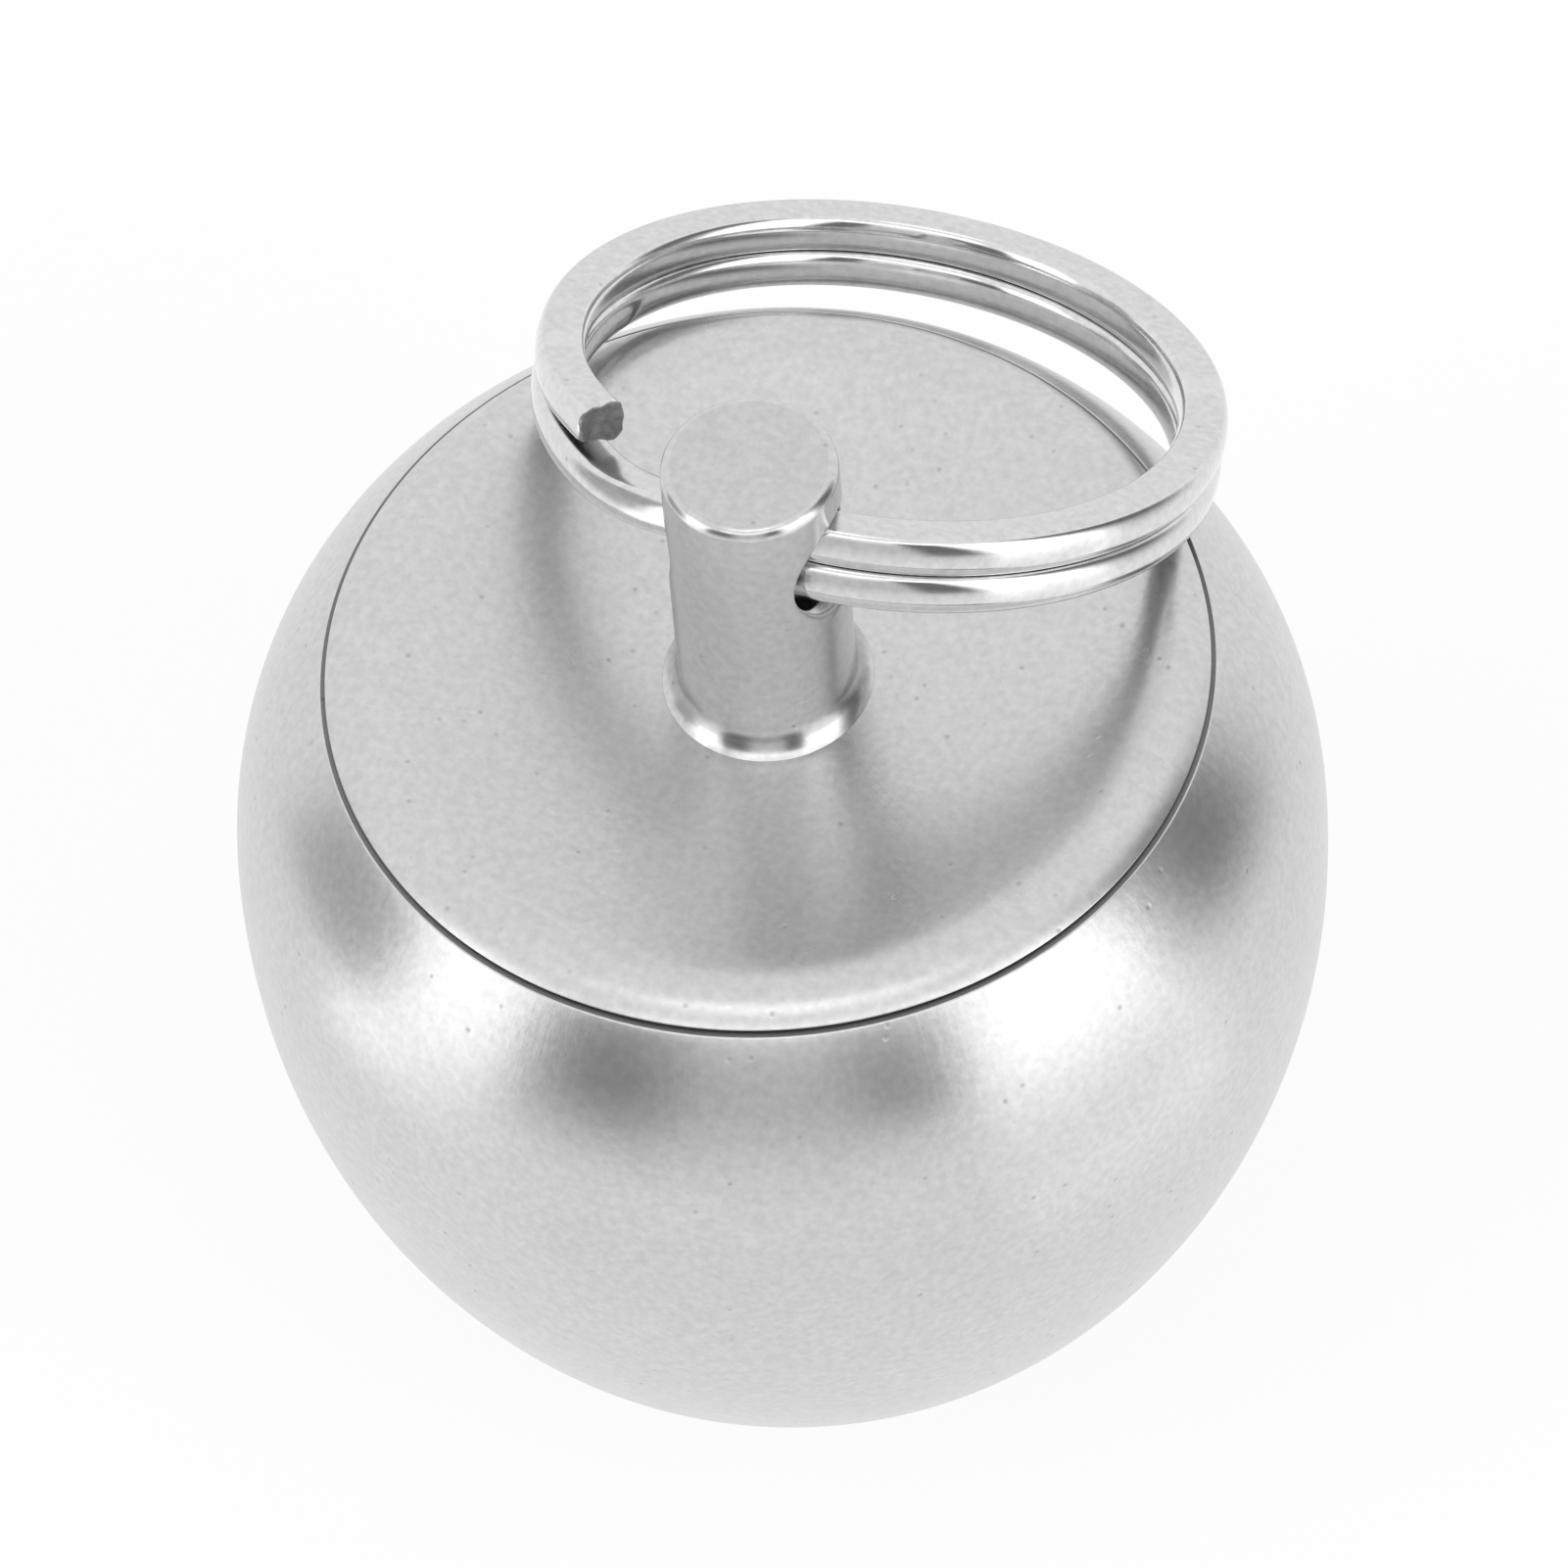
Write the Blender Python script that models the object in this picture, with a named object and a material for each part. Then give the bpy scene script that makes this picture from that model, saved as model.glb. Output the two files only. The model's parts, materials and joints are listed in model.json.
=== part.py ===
"""Turned metal pill container in the shape of an apple.

A round-bellied jar takes a screw lid with a dished top. A stem stands in the dish, and a split
ring of two turns of flat-sided wire passes through a hole drilled across the stem, so that the
container hangs on a bunch of keys. A rubber ring in the lid's plug seals the chamber.

Lengths are in metres and +Z is up. The origin is the middle of the flat foot, and X runs along
the hole in the stem.
"""

import math

import bmesh
import bpy
import numpy as np
from mathutils import Vector

# Clearances: seat_gap is left wherever one piece seats on or fits in another
seat_gap = 0.0003
rest_gap = 0.0002
hole_gap = 0.00022
turn_gap = 0.00045
overrun = 0.001

# Body, outside
belly_radius = 0.0160
belly_height = 0.0171
shoulder_reach = 0.01292
shoulder_power = 2.636
belly_reach = 0.0202
belly_power = 1.948
foot_radius = 0.0068
foot_curve_height = 0.0011

# Body, inside: each bore is counted in from the belly
belly_wall = 0.0066
mouth_step = 0.0006
seal_step = 0.0005
rim_land_width = 0.00219
chamber_floor = 0.0030
chamber_corner = 0.0025
mouth_run_out = 0.0007

# Lid
rim_roll = 0.0020
dish_depth = 0.00148
web_thickness = 0.0022
land_height = 0.0009
plug_length = 0.0058
plug_wall = 0.0021
plug_chamfer = 0.0004

# Seal ring
seal_section = 0.0006

# Stem
stem_height = 0.00986
stem_shaft_radius = 0.002555
stem_head_radius = 0.00245
stem_foot_radius = 0.003015
stem_fillet_height = 0.0009
stem_fillet_power = 3.1
stem_edge_round = 0.00032
stem_seat_depth = 0.0005
spigot_radius = 0.0015
spigot_chamfer = 0.0003
hole_drop = 0.00317
hole_lip = 0.0005
hole_lip_side_share = 0.2

# Split ring
ring_radius = 0.0100
wire_width = 0.00144
wire_stack = 0.00236
wire_bulge = 0.00024
top_end_angle = math.radians(323.0)
low_end_angle = math.radians(-351.0)
crossing_start = math.radians(11.0)
crossing_end = math.radians(-35.0)
end_spread = 0.00016
end_spread_run = math.radians(24.0)

# Facets
body_steps = 64
stem_steps = 48
seal_steps = 48
ring_step_angle = math.radians(6.0)
profile_steps = 12
arc_steps = 5
rim_steps = 7
edge_steps = 3
shaft_steps = 4
fillet_steps = 6
hole_steps = 32
section_steps = 5
seal_section_steps = 10
smooth_angle = math.radians(32.0)
merge_share = 0.001
nudge_share = 0.01
steepest_lean = math.radians(60.0)
tilt_halvings = 24
millimetre = 0.001


def clear_scene():
    """Take away the objects of the opening scene."""
    for obj in list(bpy.data.objects):
        bpy.data.objects.remove(obj, do_unlink=True)


def make_material(name, colour, metallic, roughness):
    """A plain surface in the piece's own colour."""
    material = bpy.data.materials.new(name)
    material.use_nodes = True
    shader = material.node_tree.nodes["Principled BSDF"]
    shader.inputs["Base Color"].default_value = (*colour, 1.0)
    shader.inputs["Metallic"].default_value = metallic
    shader.inputs["Roughness"].default_value = roughness
    return material


def place(mesh_name, bm, material, location, parent=None):
    """Finish a bmesh as a smooth-shaded object of its own."""
    bmesh.ops.remove_doubles(bm, verts=bm.verts, dist=seat_gap * merge_share)
    bmesh.ops.recalc_face_normals(bm, faces=bm.faces)
    mesh = bpy.data.meshes.new(mesh_name)
    bm.to_mesh(mesh)
    bm.free()
    mesh.materials.append(material)
    mesh.shade_smooth()
    mesh.set_sharp_from_angle(angle=smooth_angle)
    obj = bpy.data.objects.new(mesh_name, mesh)
    obj.location = location
    obj.parent = parent
    bpy.context.scene.collection.objects.link(obj)
    return obj


def turn_outline(points, steps, closed):
    """Spin an outline of (radius, height) points round the Z axis."""
    bm = bmesh.new()
    verts = [bm.verts.new((r, 0, h)) for r, h in points]
    pairs = list(zip(verts, verts[1:]))
    if closed:
        pairs.append((verts[-1], verts[0]))
    edges = [bm.edges.new(pair) for pair in pairs]
    bmesh.ops.spin(
        bm, geom=verts + edges, cent=(0, 0, 0), axis=(0, 0, 1), angle=math.tau,
        steps=steps, use_merge=True, use_duplicate=False,
    )
    return bm


def arc(centre, radius, start, end, steps):
    """Points on an arc, by angle from the first axis, both ends included."""
    return [
        (centre[0] + radius * math.cos(a), centre[1] + radius * math.sin(a))
        for a in np.linspace(start, end, steps + 1)
    ]


def shoulder_radius(rise):
    """Radius of the body above its widest place."""
    return belly_radius * (1 - (rise / shoulder_reach) ** shoulder_power) ** (1 / shoulder_power)


def shoulder_rise(radius):
    """Rise over the widest place at which the shoulder has drawn in to a radius."""
    return shoulder_reach * (1 - (radius / belly_radius) ** shoulder_power) ** (1 / shoulder_power)


def belly_radius_below(drop):
    """Radius of the body below its widest place."""
    return belly_radius * (1 - (drop / belly_reach) ** belly_power) ** (1 / belly_power)


def shoulder_slope(rise):
    """Angle between the shoulder's outward normal and the vertical."""
    radius = shoulder_radius(rise)
    out = (radius / belly_radius) ** (shoulder_power - 1) / belly_radius
    up = (rise / shoulder_reach) ** (shoulder_power - 1) / shoulder_reach
    return math.atan2(out, up)


def stem_radius(height):
    """Radius of the stem at a height over its foot line: a tapered shaft on a hollow fillet."""
    fillet = max(0.0, 1 - height / stem_fillet_height) ** stem_fillet_power
    taper = (stem_head_radius - stem_shaft_radius) * height / stem_height
    return stem_shaft_radius + taper + (stem_foot_radius - stem_shaft_radius) * fillet


# Radii and levels that several pieces share
chamber_radius = belly_radius - belly_wall
mouth_radius = chamber_radius + mouth_step
seal_seat_radius = mouth_radius + seal_step
seam_radius = seal_seat_radius + rim_land_width
seam_rise = shoulder_rise(seam_radius)
seam_level = belly_height + seam_rise
body_rim_level = seam_level - seat_gap / 2
lid_seat_level = seam_level + seat_gap / 2
seam_slope = shoulder_slope(seam_rise)
groove_height = 2 * seal_section + 2 * seat_gap
groove_top = lid_seat_level - land_height
groove_bottom = groove_top - groove_height
plug_end = lid_seat_level - plug_length
roll_centre = (
    seam_radius - rim_roll * math.sin(seam_slope),
    lid_seat_level - rim_roll * math.cos(seam_slope),
)
rim_crest = roll_centre[1] + rim_roll
dish_floor = rim_crest - dish_depth
dish_rise = dish_floor - roll_centre[1]
dish_radius = (roll_centre[0] ** 2 + dish_rise**2 - rim_roll**2) / (2 * (rim_roll - dish_rise))
hollow_roof = dish_floor - web_thickness
stem_top = dish_floor + stem_height
hole_level = stem_top - hole_drop
stem_seat_level = dish_floor - stem_seat_depth
stem_foot_level = dish_floor + dish_radius - math.sqrt(dish_radius**2 - stem_foot_radius**2)
hole_shaft_radius = stem_radius(hole_level - stem_foot_level)
wire_height = (wire_stack - turn_gap) / 2
layer_offset = (wire_height + turn_gap) / 2
wire_run_radius = ring_radius - wire_width / 2
wire_bow = wire_run_radius - math.sqrt(wire_run_radius**2 - hole_shaft_radius**2)
ring_reach = wire_run_radius - wire_bow / 2
hole_radius = math.hypot(wire_width / 2 - wire_bulge + wire_bow / 2, wire_stack / 2) + hole_gap


def foot_curve():
    """The turn from the belly into the flat foot, as a quadratic curve."""
    drop = belly_height - foot_curve_height
    start = Vector((belly_radius_below(drop), foot_curve_height))
    out = (start.x / belly_radius) ** (belly_power - 1) / belly_radius
    down = (drop / belly_reach) ** (belly_power - 1) / belly_reach
    corner = Vector((start.x - start.y * down / out, 0))
    end = Vector((foot_radius, 0))
    points = []
    for t in np.linspace(0, 1, arc_steps + 1):
        points.append(tuple(start * (1 - t) ** 2 + corner * 2 * t * (1 - t) + end * t**2))
    return points[::-1]


def belly_outline():
    """Outside of the body from the foot curve to the seam."""
    lowest = belly_height - foot_curve_height
    low_turn = math.asin(lowest / belly_reach)
    high_turn = math.asin(seam_rise / shoulder_reach)
    points = []
    for a in np.linspace(low_turn, 0, profile_steps)[1:]:
        drop = belly_reach * math.sin(a)
        points.append((belly_radius_below(drop), belly_height - drop))
    for a in np.linspace(0, high_turn, profile_steps)[1:-1]:
        rise = shoulder_reach * math.sin(a)
        points.append((shoulder_radius(rise), belly_height + rise))
    points.append((shoulder_radius(seam_rise - seat_gap / 2), body_rim_level))
    return points


def make_body(metal):
    """The jar: belly, flat foot, stepped mouth and bored chamber."""
    seat_floor = groove_bottom - seat_gap
    thread_end = plug_end - mouth_run_out
    corner = (chamber_radius - chamber_corner, chamber_floor + chamber_corner)
    outline = [(0, 0), *foot_curve(), *belly_outline()]
    outline += [
        (seal_seat_radius, body_rim_level),
        (seal_seat_radius, seat_floor),
        (mouth_radius, seat_floor - seal_step),
        (mouth_radius, thread_end),
        (chamber_radius, thread_end - mouth_step),
        *arc(corner, chamber_corner, 0, -math.pi / 2, arc_steps),
        (0, chamber_floor),
    ]
    return place("apple_body", turn_outline(outline, body_steps, closed=False), metal, (0, 0, 0))


def dish_outline(inner_radius):
    """Top of the lid from the seam, over the rolled rim and across the dish to a radius."""
    lean = math.asin(roll_centre[0] / (dish_radius + rim_roll))
    points = arc(roll_centre, rim_roll, math.pi / 2 - seam_slope, math.pi / 2 + lean, rim_steps)
    first = points[-1][0]
    for r in np.linspace(first, inner_radius, arc_steps + 1)[1:]:
        points.append((r, dish_floor + dish_radius - math.sqrt(dish_radius**2 - r**2)))
    return points


def make_lid(metal, axis):
    """The lid: rolled rim, dish, seal groove, plug with its hollow, and the stem's seat."""
    land_radius = seal_seat_radius - seat_gap
    thread_radius = mouth_radius - seat_gap
    groove_floor = seal_seat_radius - 2 * seal_section - 2 * seat_gap
    hollow_radius = thread_radius - plug_wall
    seat_radius = stem_foot_radius + seat_gap
    seat_floor = stem_seat_level - seat_gap
    spigot_hole = spigot_radius + seat_gap
    outline = [
        *dish_outline(seat_radius),
        (seat_radius, seat_floor),
        (spigot_hole, seat_floor),
        (spigot_hole, hollow_roof),
        (hollow_radius, hollow_roof),
        (hollow_radius, plug_end),
        (thread_radius - plug_chamfer, plug_end),
        (thread_radius, plug_end + plug_chamfer),
        (thread_radius, groove_bottom),
        (groove_floor, groove_bottom),
        (groove_floor, groove_top),
        (land_radius, groove_top),
        (land_radius, lid_seat_level),
    ]
    level = axis.location.z
    outline = [(r, h - level) for r, h in outline]
    return place("lid", turn_outline(outline, body_steps, closed=True), metal, (0, 0, 0), axis)


def make_seal(rubber, axis):
    """The rubber ring in the plug's groove."""
    centre = (seal_seat_radius - seat_gap - seal_section, groove_bottom + groove_height / 2)
    centre = (centre[0], centre[1] - axis.location.z)
    outline = arc(centre, seal_section, 0, math.tau, seal_section_steps)[:-1]
    return place("seal_ring", turn_outline(outline, seal_steps, closed=True), rubber, (0, 0, 0), axis)


def lip_round(turn):
    """Rounding of the hole's lip, most above and below, where the ring bears on it."""
    return hole_lip * (hole_lip_side_share + (1 - hole_lip_side_share) * math.sin(turn) ** 2)


def hole_cutter(level, metal):
    """A bar along X whose ends swell to round the hole's lip where it leaves the stem."""
    bm = bmesh.new()
    rings = []
    swell = [(math.sin(a), math.cos(a)) for a in np.linspace(0, math.pi / 2, arc_steps)]
    for side in (-1, 1):
        stations = [(1 - cosine, sine - 1, 0) for sine, cosine in swell] + [(1, 0, overrun)]
        for widen, inset, beyond in stations if side > 0 else stations[::-1]:
            ring = []
            for a in np.linspace(0, math.tau, hole_steps + 1)[:-1]:
                reach = hole_radius + lip_round(a) * widen
                y = reach * math.cos(a)
                surface = math.sqrt(hole_shaft_radius**2 - min(abs(y), hole_shaft_radius) ** 2)
                x = side * (surface + lip_round(a) * inset + beyond)
                ring.append(bm.verts.new((x, y, level + reach * math.sin(a))))
            rings.append(ring)
    for first, second in zip(rings, rings[1:]):
        for i, vert in enumerate(first):
            bm.faces.new((vert, first[i - 1], second[i - 1], second[i]))
    bm.faces.new(rings[0])
    bm.faces.new(rings[-1])
    cutter = place("hole_cutter", bm, metal, (0, 0, 0))
    cutter.hide_render = True
    cutter.display_type = "WIRE"
    return cutter


def make_stem(metal, axis):
    """The stem: spigot, filleted foot, tapered shaft, rounded head and cross hole."""
    reach = stem_top - stem_foot_level
    head = (stem_radius(reach) - stem_edge_round, stem_top - stem_edge_round)
    fillet = np.linspace(0, stem_fillet_height, fillet_steps + 1)
    taper = np.linspace(stem_fillet_height, reach - stem_edge_round, shaft_steps + 1)
    shaft = [(stem_radius(h), stem_foot_level + h) for h in (*fillet, *taper[1:-1])]
    outline = [
        (0, stem_top),
        *arc(head, stem_edge_round, math.pi / 2, 0, edge_steps),
        *shaft[::-1],
        (stem_foot_radius, stem_seat_level),
        (spigot_radius, stem_seat_level),
        (spigot_radius, hollow_roof + spigot_chamfer),
        (spigot_radius - spigot_chamfer, hollow_roof),
        (0, hollow_roof),
    ]
    level = axis.location.z
    outline = [(r, h - level) for r, h in outline]
    stem = place("stem", turn_outline(outline, stem_steps, closed=False), metal, (0, 0, 0), axis)
    cutter = hole_cutter(hole_level - level, metal)
    cutter.parent = axis
    cut = stem.modifiers.new("cross hole", "BOOLEAN")
    cut.operation = "DIFFERENCE"
    cut.solver = "EXACT"
    cut.object = cutter
    return stem


def smooth_step(share):
    """Ease from 0 to 1 with level ends."""
    share = min(max(share, 0.0), 1.0)
    return share * share * (3 - 2 * share)


def wire_offset(turn):
    """Height of the wire's middle over the ring's mid-plane, by angle along the wire."""
    crossing = smooth_step((crossing_start - turn) / (crossing_start - crossing_end))
    spread = smooth_step(1 - (top_end_angle - turn) / end_spread_run)
    return layer_offset * (1 - 2 * crossing) + end_spread * spread


def wire_point(turn):
    """Middle of the wire. The pivot is at the origin and the ring lies towards +Y."""
    return Vector((
        wire_run_radius * math.sin(turn),
        ring_reach - wire_run_radius * math.cos(turn),
        wire_offset(turn),
    ))


def wire_section():
    """Half-round sided section: (out from the ring's middle, along its axis)."""
    flat = wire_width / 2 - wire_bulge
    half = wire_height / 2
    side = [
        (flat + wire_bulge * math.cos(a), half * math.sin(a))
        for a in np.linspace(-math.pi / 2, math.pi / 2, section_steps + 1)
    ]
    return side + [(-x, -z) for x, z in side]


def wire_rings():
    """The wire's sections in order, from its top cut end to its low one."""
    count = round((top_end_angle - low_end_angle) / ring_step_angle)
    nudge = ring_step_angle * nudge_share
    rings = []
    for turn in np.linspace(top_end_angle, low_end_angle, count + 1):
        along = (wire_point(turn - nudge) - wire_point(turn + nudge)).normalized()
        out = Vector((math.sin(turn), -math.cos(turn), 0))
        up = out.cross(along).normalized()
        if up.z < 0:
            up.negate()
        middle = wire_point(turn)
        rings.append([middle + out * x + up * z for x, z in wire_section()])
    return rings


def least_turn_gap(rings):
    """Least distance between stretches of wire half a turn or more apart."""
    points = np.array([[tuple(p) for p in ring] for ring in rings])
    apart = round(math.pi / ring_step_angle)
    least = math.inf
    for i in range(len(points) - apart):
        later = points[i + apart:].reshape(-1, 3)
        gaps = np.linalg.norm(points[i][:, None] - later[None], axis=2)
        least = min(least, float(gaps.min()))
    return least


def gap_to_outline(radii, heights, outline):
    """Least signed distance from points to an outline, by radius and height, positive above it."""
    least = math.inf
    for (r0, h0), (r1, h1) in zip(outline, outline[1:]):
        along = np.array((r1 - r0, h1 - h0))
        length = np.linalg.norm(along)
        along /= length
        reach = (radii - r0) * along[0] + (heights - h0) * along[1]
        above = (heights - h0) * along[0] - (radii - r0) * along[1]
        beyond = np.maximum(np.maximum(-reach, reach - length), 0)
        least = min(least, float(np.where(beyond > 0, np.hypot(beyond, above), above).min()))
    return least


def rest_tilt(rings):
    """How far the ring leans when it lies rest_gap above the rim of the lid or the shoulder."""
    points = np.array([tuple(p) for ring in rings for p in ring])
    top = dish_outline(stem_foot_radius)[::-1] + belly_outline()[::-1]
    low, high = 0.0, steepest_lean
    for _ in range(tilt_halvings):
        tilt = (low + high) / 2
        across = points[:, 1] * math.cos(tilt) + points[:, 2] * math.sin(tilt)
        heights = points[:, 2] * math.cos(tilt) - points[:, 1] * math.sin(tilt) + hole_level
        if gap_to_outline(np.hypot(points[:, 0], across), heights, top) > rest_gap:
            low = tilt
        else:
            high = tilt
    return low


def make_split_ring(metal, pivot):
    """The split ring: one wire wound just under two turns, crossing over inside the stem."""
    rings = wire_rings()
    tilt = rest_tilt(rings)
    pivot.rotation_euler = (-tilt, 0, 0)
    print(f"split_ring: least gap to itself {least_turn_gap(rings) / millimetre:.3f} mm")
    print(f"split_ring: leans {math.degrees(tilt):.2f} degrees at rest")
    bm = bmesh.new()
    loops = [[bm.verts.new(p) for p in ring] for ring in rings]
    for first, second in zip(loops, loops[1:]):
        for i, vert in enumerate(first):
            bm.faces.new((vert, first[i - 1], second[i - 1], second[i]))
    bm.faces.new(loops[0])
    bm.faces.new(loops[-1])
    return place("split_ring", bm, metal, (0, 0, 0), pivot)


def add_empty(name, location):
    """An empty that stands on a joint's axis."""
    empty = bpy.data.objects.new(name, None)
    empty.location = location
    empty.empty_display_size = stem_height
    bpy.context.scene.collection.objects.link(empty)
    return empty


def build():
    """Make every piece."""
    clear_scene()
    satin = make_material("satin_steel", (0.62, 0.62, 0.61), 1.0, 0.34)
    turned = make_material("turned_steel", (0.66, 0.66, 0.65), 1.0, 0.26)
    polished = make_material("polished_steel", (0.70, 0.70, 0.69), 1.0, 0.16)
    rubber = make_material("seal_rubber", (0.03, 0.03, 0.03), 0.0, 0.6)
    lid_axis = add_empty("lid_axis", (0, 0, seam_level))
    ring_pivot = add_empty("ring_pivot", (0, 0, hole_level))
    make_body(satin)
    make_lid(satin, lid_axis)
    make_seal(rubber, lid_axis)
    make_stem(turned, lid_axis)
    make_split_ring(polished, ring_pivot)


build()
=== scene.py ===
"""Looks of a turned steel pill container in the shape of an apple.

Each sub-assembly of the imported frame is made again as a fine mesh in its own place, and dressed:
the jar with its threaded mouth, the dished screw lid, the drilled stem, the rubber seal ring and
the split ring of flat-sided wire. Lengths are in metres, +Z is up, the origin is the middle of
the flat foot and X runs along the hole in the stem.
"""

import json
import logging
import math
from collections.abc import Callable, Iterable, Mapping, Sequence
from dataclasses import dataclass
from enum import Enum, IntEnum

import bmesh
import bpy
import numpy as np
from mathutils import Matrix, Vector, noise

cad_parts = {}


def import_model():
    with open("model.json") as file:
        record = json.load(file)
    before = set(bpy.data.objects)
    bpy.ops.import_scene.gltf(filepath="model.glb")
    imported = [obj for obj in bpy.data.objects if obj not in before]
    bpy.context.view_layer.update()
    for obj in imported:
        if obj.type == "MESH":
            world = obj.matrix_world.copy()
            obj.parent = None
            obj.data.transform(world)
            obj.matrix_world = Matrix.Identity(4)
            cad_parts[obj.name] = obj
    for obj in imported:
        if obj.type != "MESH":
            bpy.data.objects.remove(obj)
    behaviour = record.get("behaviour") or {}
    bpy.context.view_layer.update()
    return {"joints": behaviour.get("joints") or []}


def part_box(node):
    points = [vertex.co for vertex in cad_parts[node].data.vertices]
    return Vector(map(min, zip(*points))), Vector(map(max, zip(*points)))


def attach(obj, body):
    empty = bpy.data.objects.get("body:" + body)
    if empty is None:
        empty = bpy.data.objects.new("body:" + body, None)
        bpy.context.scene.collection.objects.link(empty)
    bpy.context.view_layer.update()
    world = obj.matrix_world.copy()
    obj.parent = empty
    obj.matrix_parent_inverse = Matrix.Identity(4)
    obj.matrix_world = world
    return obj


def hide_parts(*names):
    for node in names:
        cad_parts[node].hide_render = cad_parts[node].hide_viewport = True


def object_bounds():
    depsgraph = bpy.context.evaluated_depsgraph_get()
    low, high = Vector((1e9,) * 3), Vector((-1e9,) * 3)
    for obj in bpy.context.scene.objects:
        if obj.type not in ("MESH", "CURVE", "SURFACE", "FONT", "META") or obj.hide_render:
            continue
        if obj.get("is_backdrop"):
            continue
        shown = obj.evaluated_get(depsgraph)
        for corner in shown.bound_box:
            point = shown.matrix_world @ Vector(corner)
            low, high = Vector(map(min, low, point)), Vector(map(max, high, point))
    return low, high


LOG = logging.getLogger("pill_container")

Z_AXIS = (0.0, 0.0, 1.0)
CENTRE = (0.0, 0.0, 0.0)
WHITE = (1.0, 1.0, 1.0, 1.0)
ROUNDING_STEPS = 5
# Points closer than this are one point.
MERGE_DISTANCE = 1e-7
# Edges that fold by more than this are drawn sharp.
SHARP_ANGLE = math.radians(40.0)
# How far past a limit a face may lie and still count as within it.
MARGIN = 0.0001
# The normal of a level face is at least this upright.
LEVEL_COSINE = 0.999
# Turns the long way of the gloss across the tool's marks.
QUARTER_TURN = 0.25

Point = tuple[float, float]
Triple = tuple[float, float, float]
Value = float | tuple | bpy.types.NodeSocket
Sockets = Mapping[str, bpy.types.NodeSocket]


class Slot(Enum):
    """The record's material slots."""

    SATIN = "satin_steel"
    TURNED = "turned_steel"
    POLISHED = "polished_steel"
    RUBBER = "seal_rubber"


class Marks(Enum):
    """Which way the tool's marks of a turned surface follow one another."""

    ALONG_AXIS = 0.0
    ACROSS_FACE = 1.0


class TurnedFace(IntEnum):
    """The finishes of the jar and the lid, in the order of their materials."""

    SATIN = 0
    BORE = 1
    FACED = 2
    SEAM_SHADE = 3


class StemFace(IntEnum):
    """The finishes of the stem, in the order of its materials."""

    SHAFT = 0
    TOP = 1
    HOLE = 2


class WireFace(IntEnum):
    """The finishes of the split ring, in the order of its materials."""

    SIDE = 0
    FLAT = 1
    CUT = 2


# Outlines


def arc(centre: Point, radius: float, start: float, end: float, steps: int) -> list[Point]:
    """Points on an arc, both ends included.

    Args:
        centre: Radius and height of the arc's middle.
        radius: The arc's own radius.
        start: Angle of the first point from the radial direction.
        end: Angle of the last point.
        steps: How many chords the arc has.

    Returns:
        The points, in order.
    """
    angles = np.linspace(start, end, steps + 1)
    return [(centre[0] + radius * math.cos(a), centre[1] + radius * math.sin(a)) for a in angles]


def level_line(radius: float, height: float, steps: int) -> list[Point]:
    """Points in equal steps on a level line, from the axis to a radius."""
    return [(share * radius, height) for share in np.linspace(0, 1, steps + 1)]


def rounded(corners: Sequence[Triple]) -> list[Point]:
    """Turn a run of corners into an outline whose corners are rounded.

    Args:
        corners: Radius, height and rounding of each corner. The ends are left sharp.

    Returns:
        The outline's points, in order.
    """
    points = []
    for i, (r, h, rounding) in enumerate(corners):
        if rounding == 0 or i in (0, len(corners) - 1):
            points.append((r, h))
            continue
        here = Vector((r, h))
        back = (Vector(corners[i - 1][:2]) - here).normalized()
        ahead = (Vector(corners[i + 1][:2]) - here).normalized()
        half = back.angle(ahead) / 2
        middle = here + (back + ahead).normalized() * rounding / math.sin(half)
        first = here + back * rounding / math.tan(half) - middle
        last = here + ahead * rounding / math.tan(half) - middle
        for share in np.linspace(0, 1, ROUNDING_STEPS + 1):
            points.append(tuple(middle + first.lerp(last, share).normalized() * rounding))
    return points


def spin_outline(points: Sequence[Point], steps: int, closed: bool) -> bmesh.types.BMesh:
    """Spin an outline round the Z axis.

    Args:
        points: Radius and height of each point.
        steps: How many facets go round.
        closed: Whether the last point joins the first one. If not, both lie on the axis.

    Returns:
        A closed mesh that faces outwards.
    """
    bm = bmesh.new()
    verts = [bm.verts.new((r, 0, h)) for r, h in points]
    pairs = list(zip(verts, verts[1:]))
    if closed:
        pairs.append((verts[-1], verts[0]))
    edges = [bm.edges.new(pair) for pair in pairs]
    bmesh.ops.spin(
        bm, geom=verts + edges, cent=CENTRE, axis=Z_AXIS, angle=math.tau,
        steps=steps, use_merge=True, use_duplicate=False,
    )
    bmesh.ops.remove_doubles(bm, verts=bm.verts, dist=MERGE_DISTANCE)
    bmesh.ops.recalc_face_normals(bm, faces=bm.faces)
    return bm


def make_piece(
    name: str,
    bm: bmesh.types.BMesh,
    materials: Sequence[bpy.types.Material],
    choose: Callable[[bmesh.types.BMFace], int] | None = None,
) -> bpy.types.Object:
    """Finish a mesh as an object at the origin.

    Args:
        name: The piece's name.
        bm: The mesh, which this call frees.
        materials: The piece's materials, in order.
        choose: Gives each face the number of its material. All have the first one if it is left
            out.

    Returns:
        The new object.
    """
    if choose:
        for face in bm.faces:
            face.material_index = choose(face)
    mesh = bpy.data.meshes.new(name)
    bm.to_mesh(mesh)
    bm.free()
    for material in materials:
        mesh.materials.append(material)
    mesh.shade_smooth()
    mesh.set_sharp_from_angle(angle=SHARP_ANGLE)
    obj = bpy.data.objects.new(name, mesh)
    bpy.context.scene.collection.objects.link(obj)
    return obj


def smooth_step(share: float) -> float:
    """Ease from 0 to 1 with level ends."""
    share = min(max(share, 0.0), 1.0)
    return share * share * (3 - 2 * share)


def distance_from_axis(point: Vector) -> float:
    """Distance of a point from the Z axis."""
    return math.hypot(point.x, point.y)


# Materials


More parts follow.
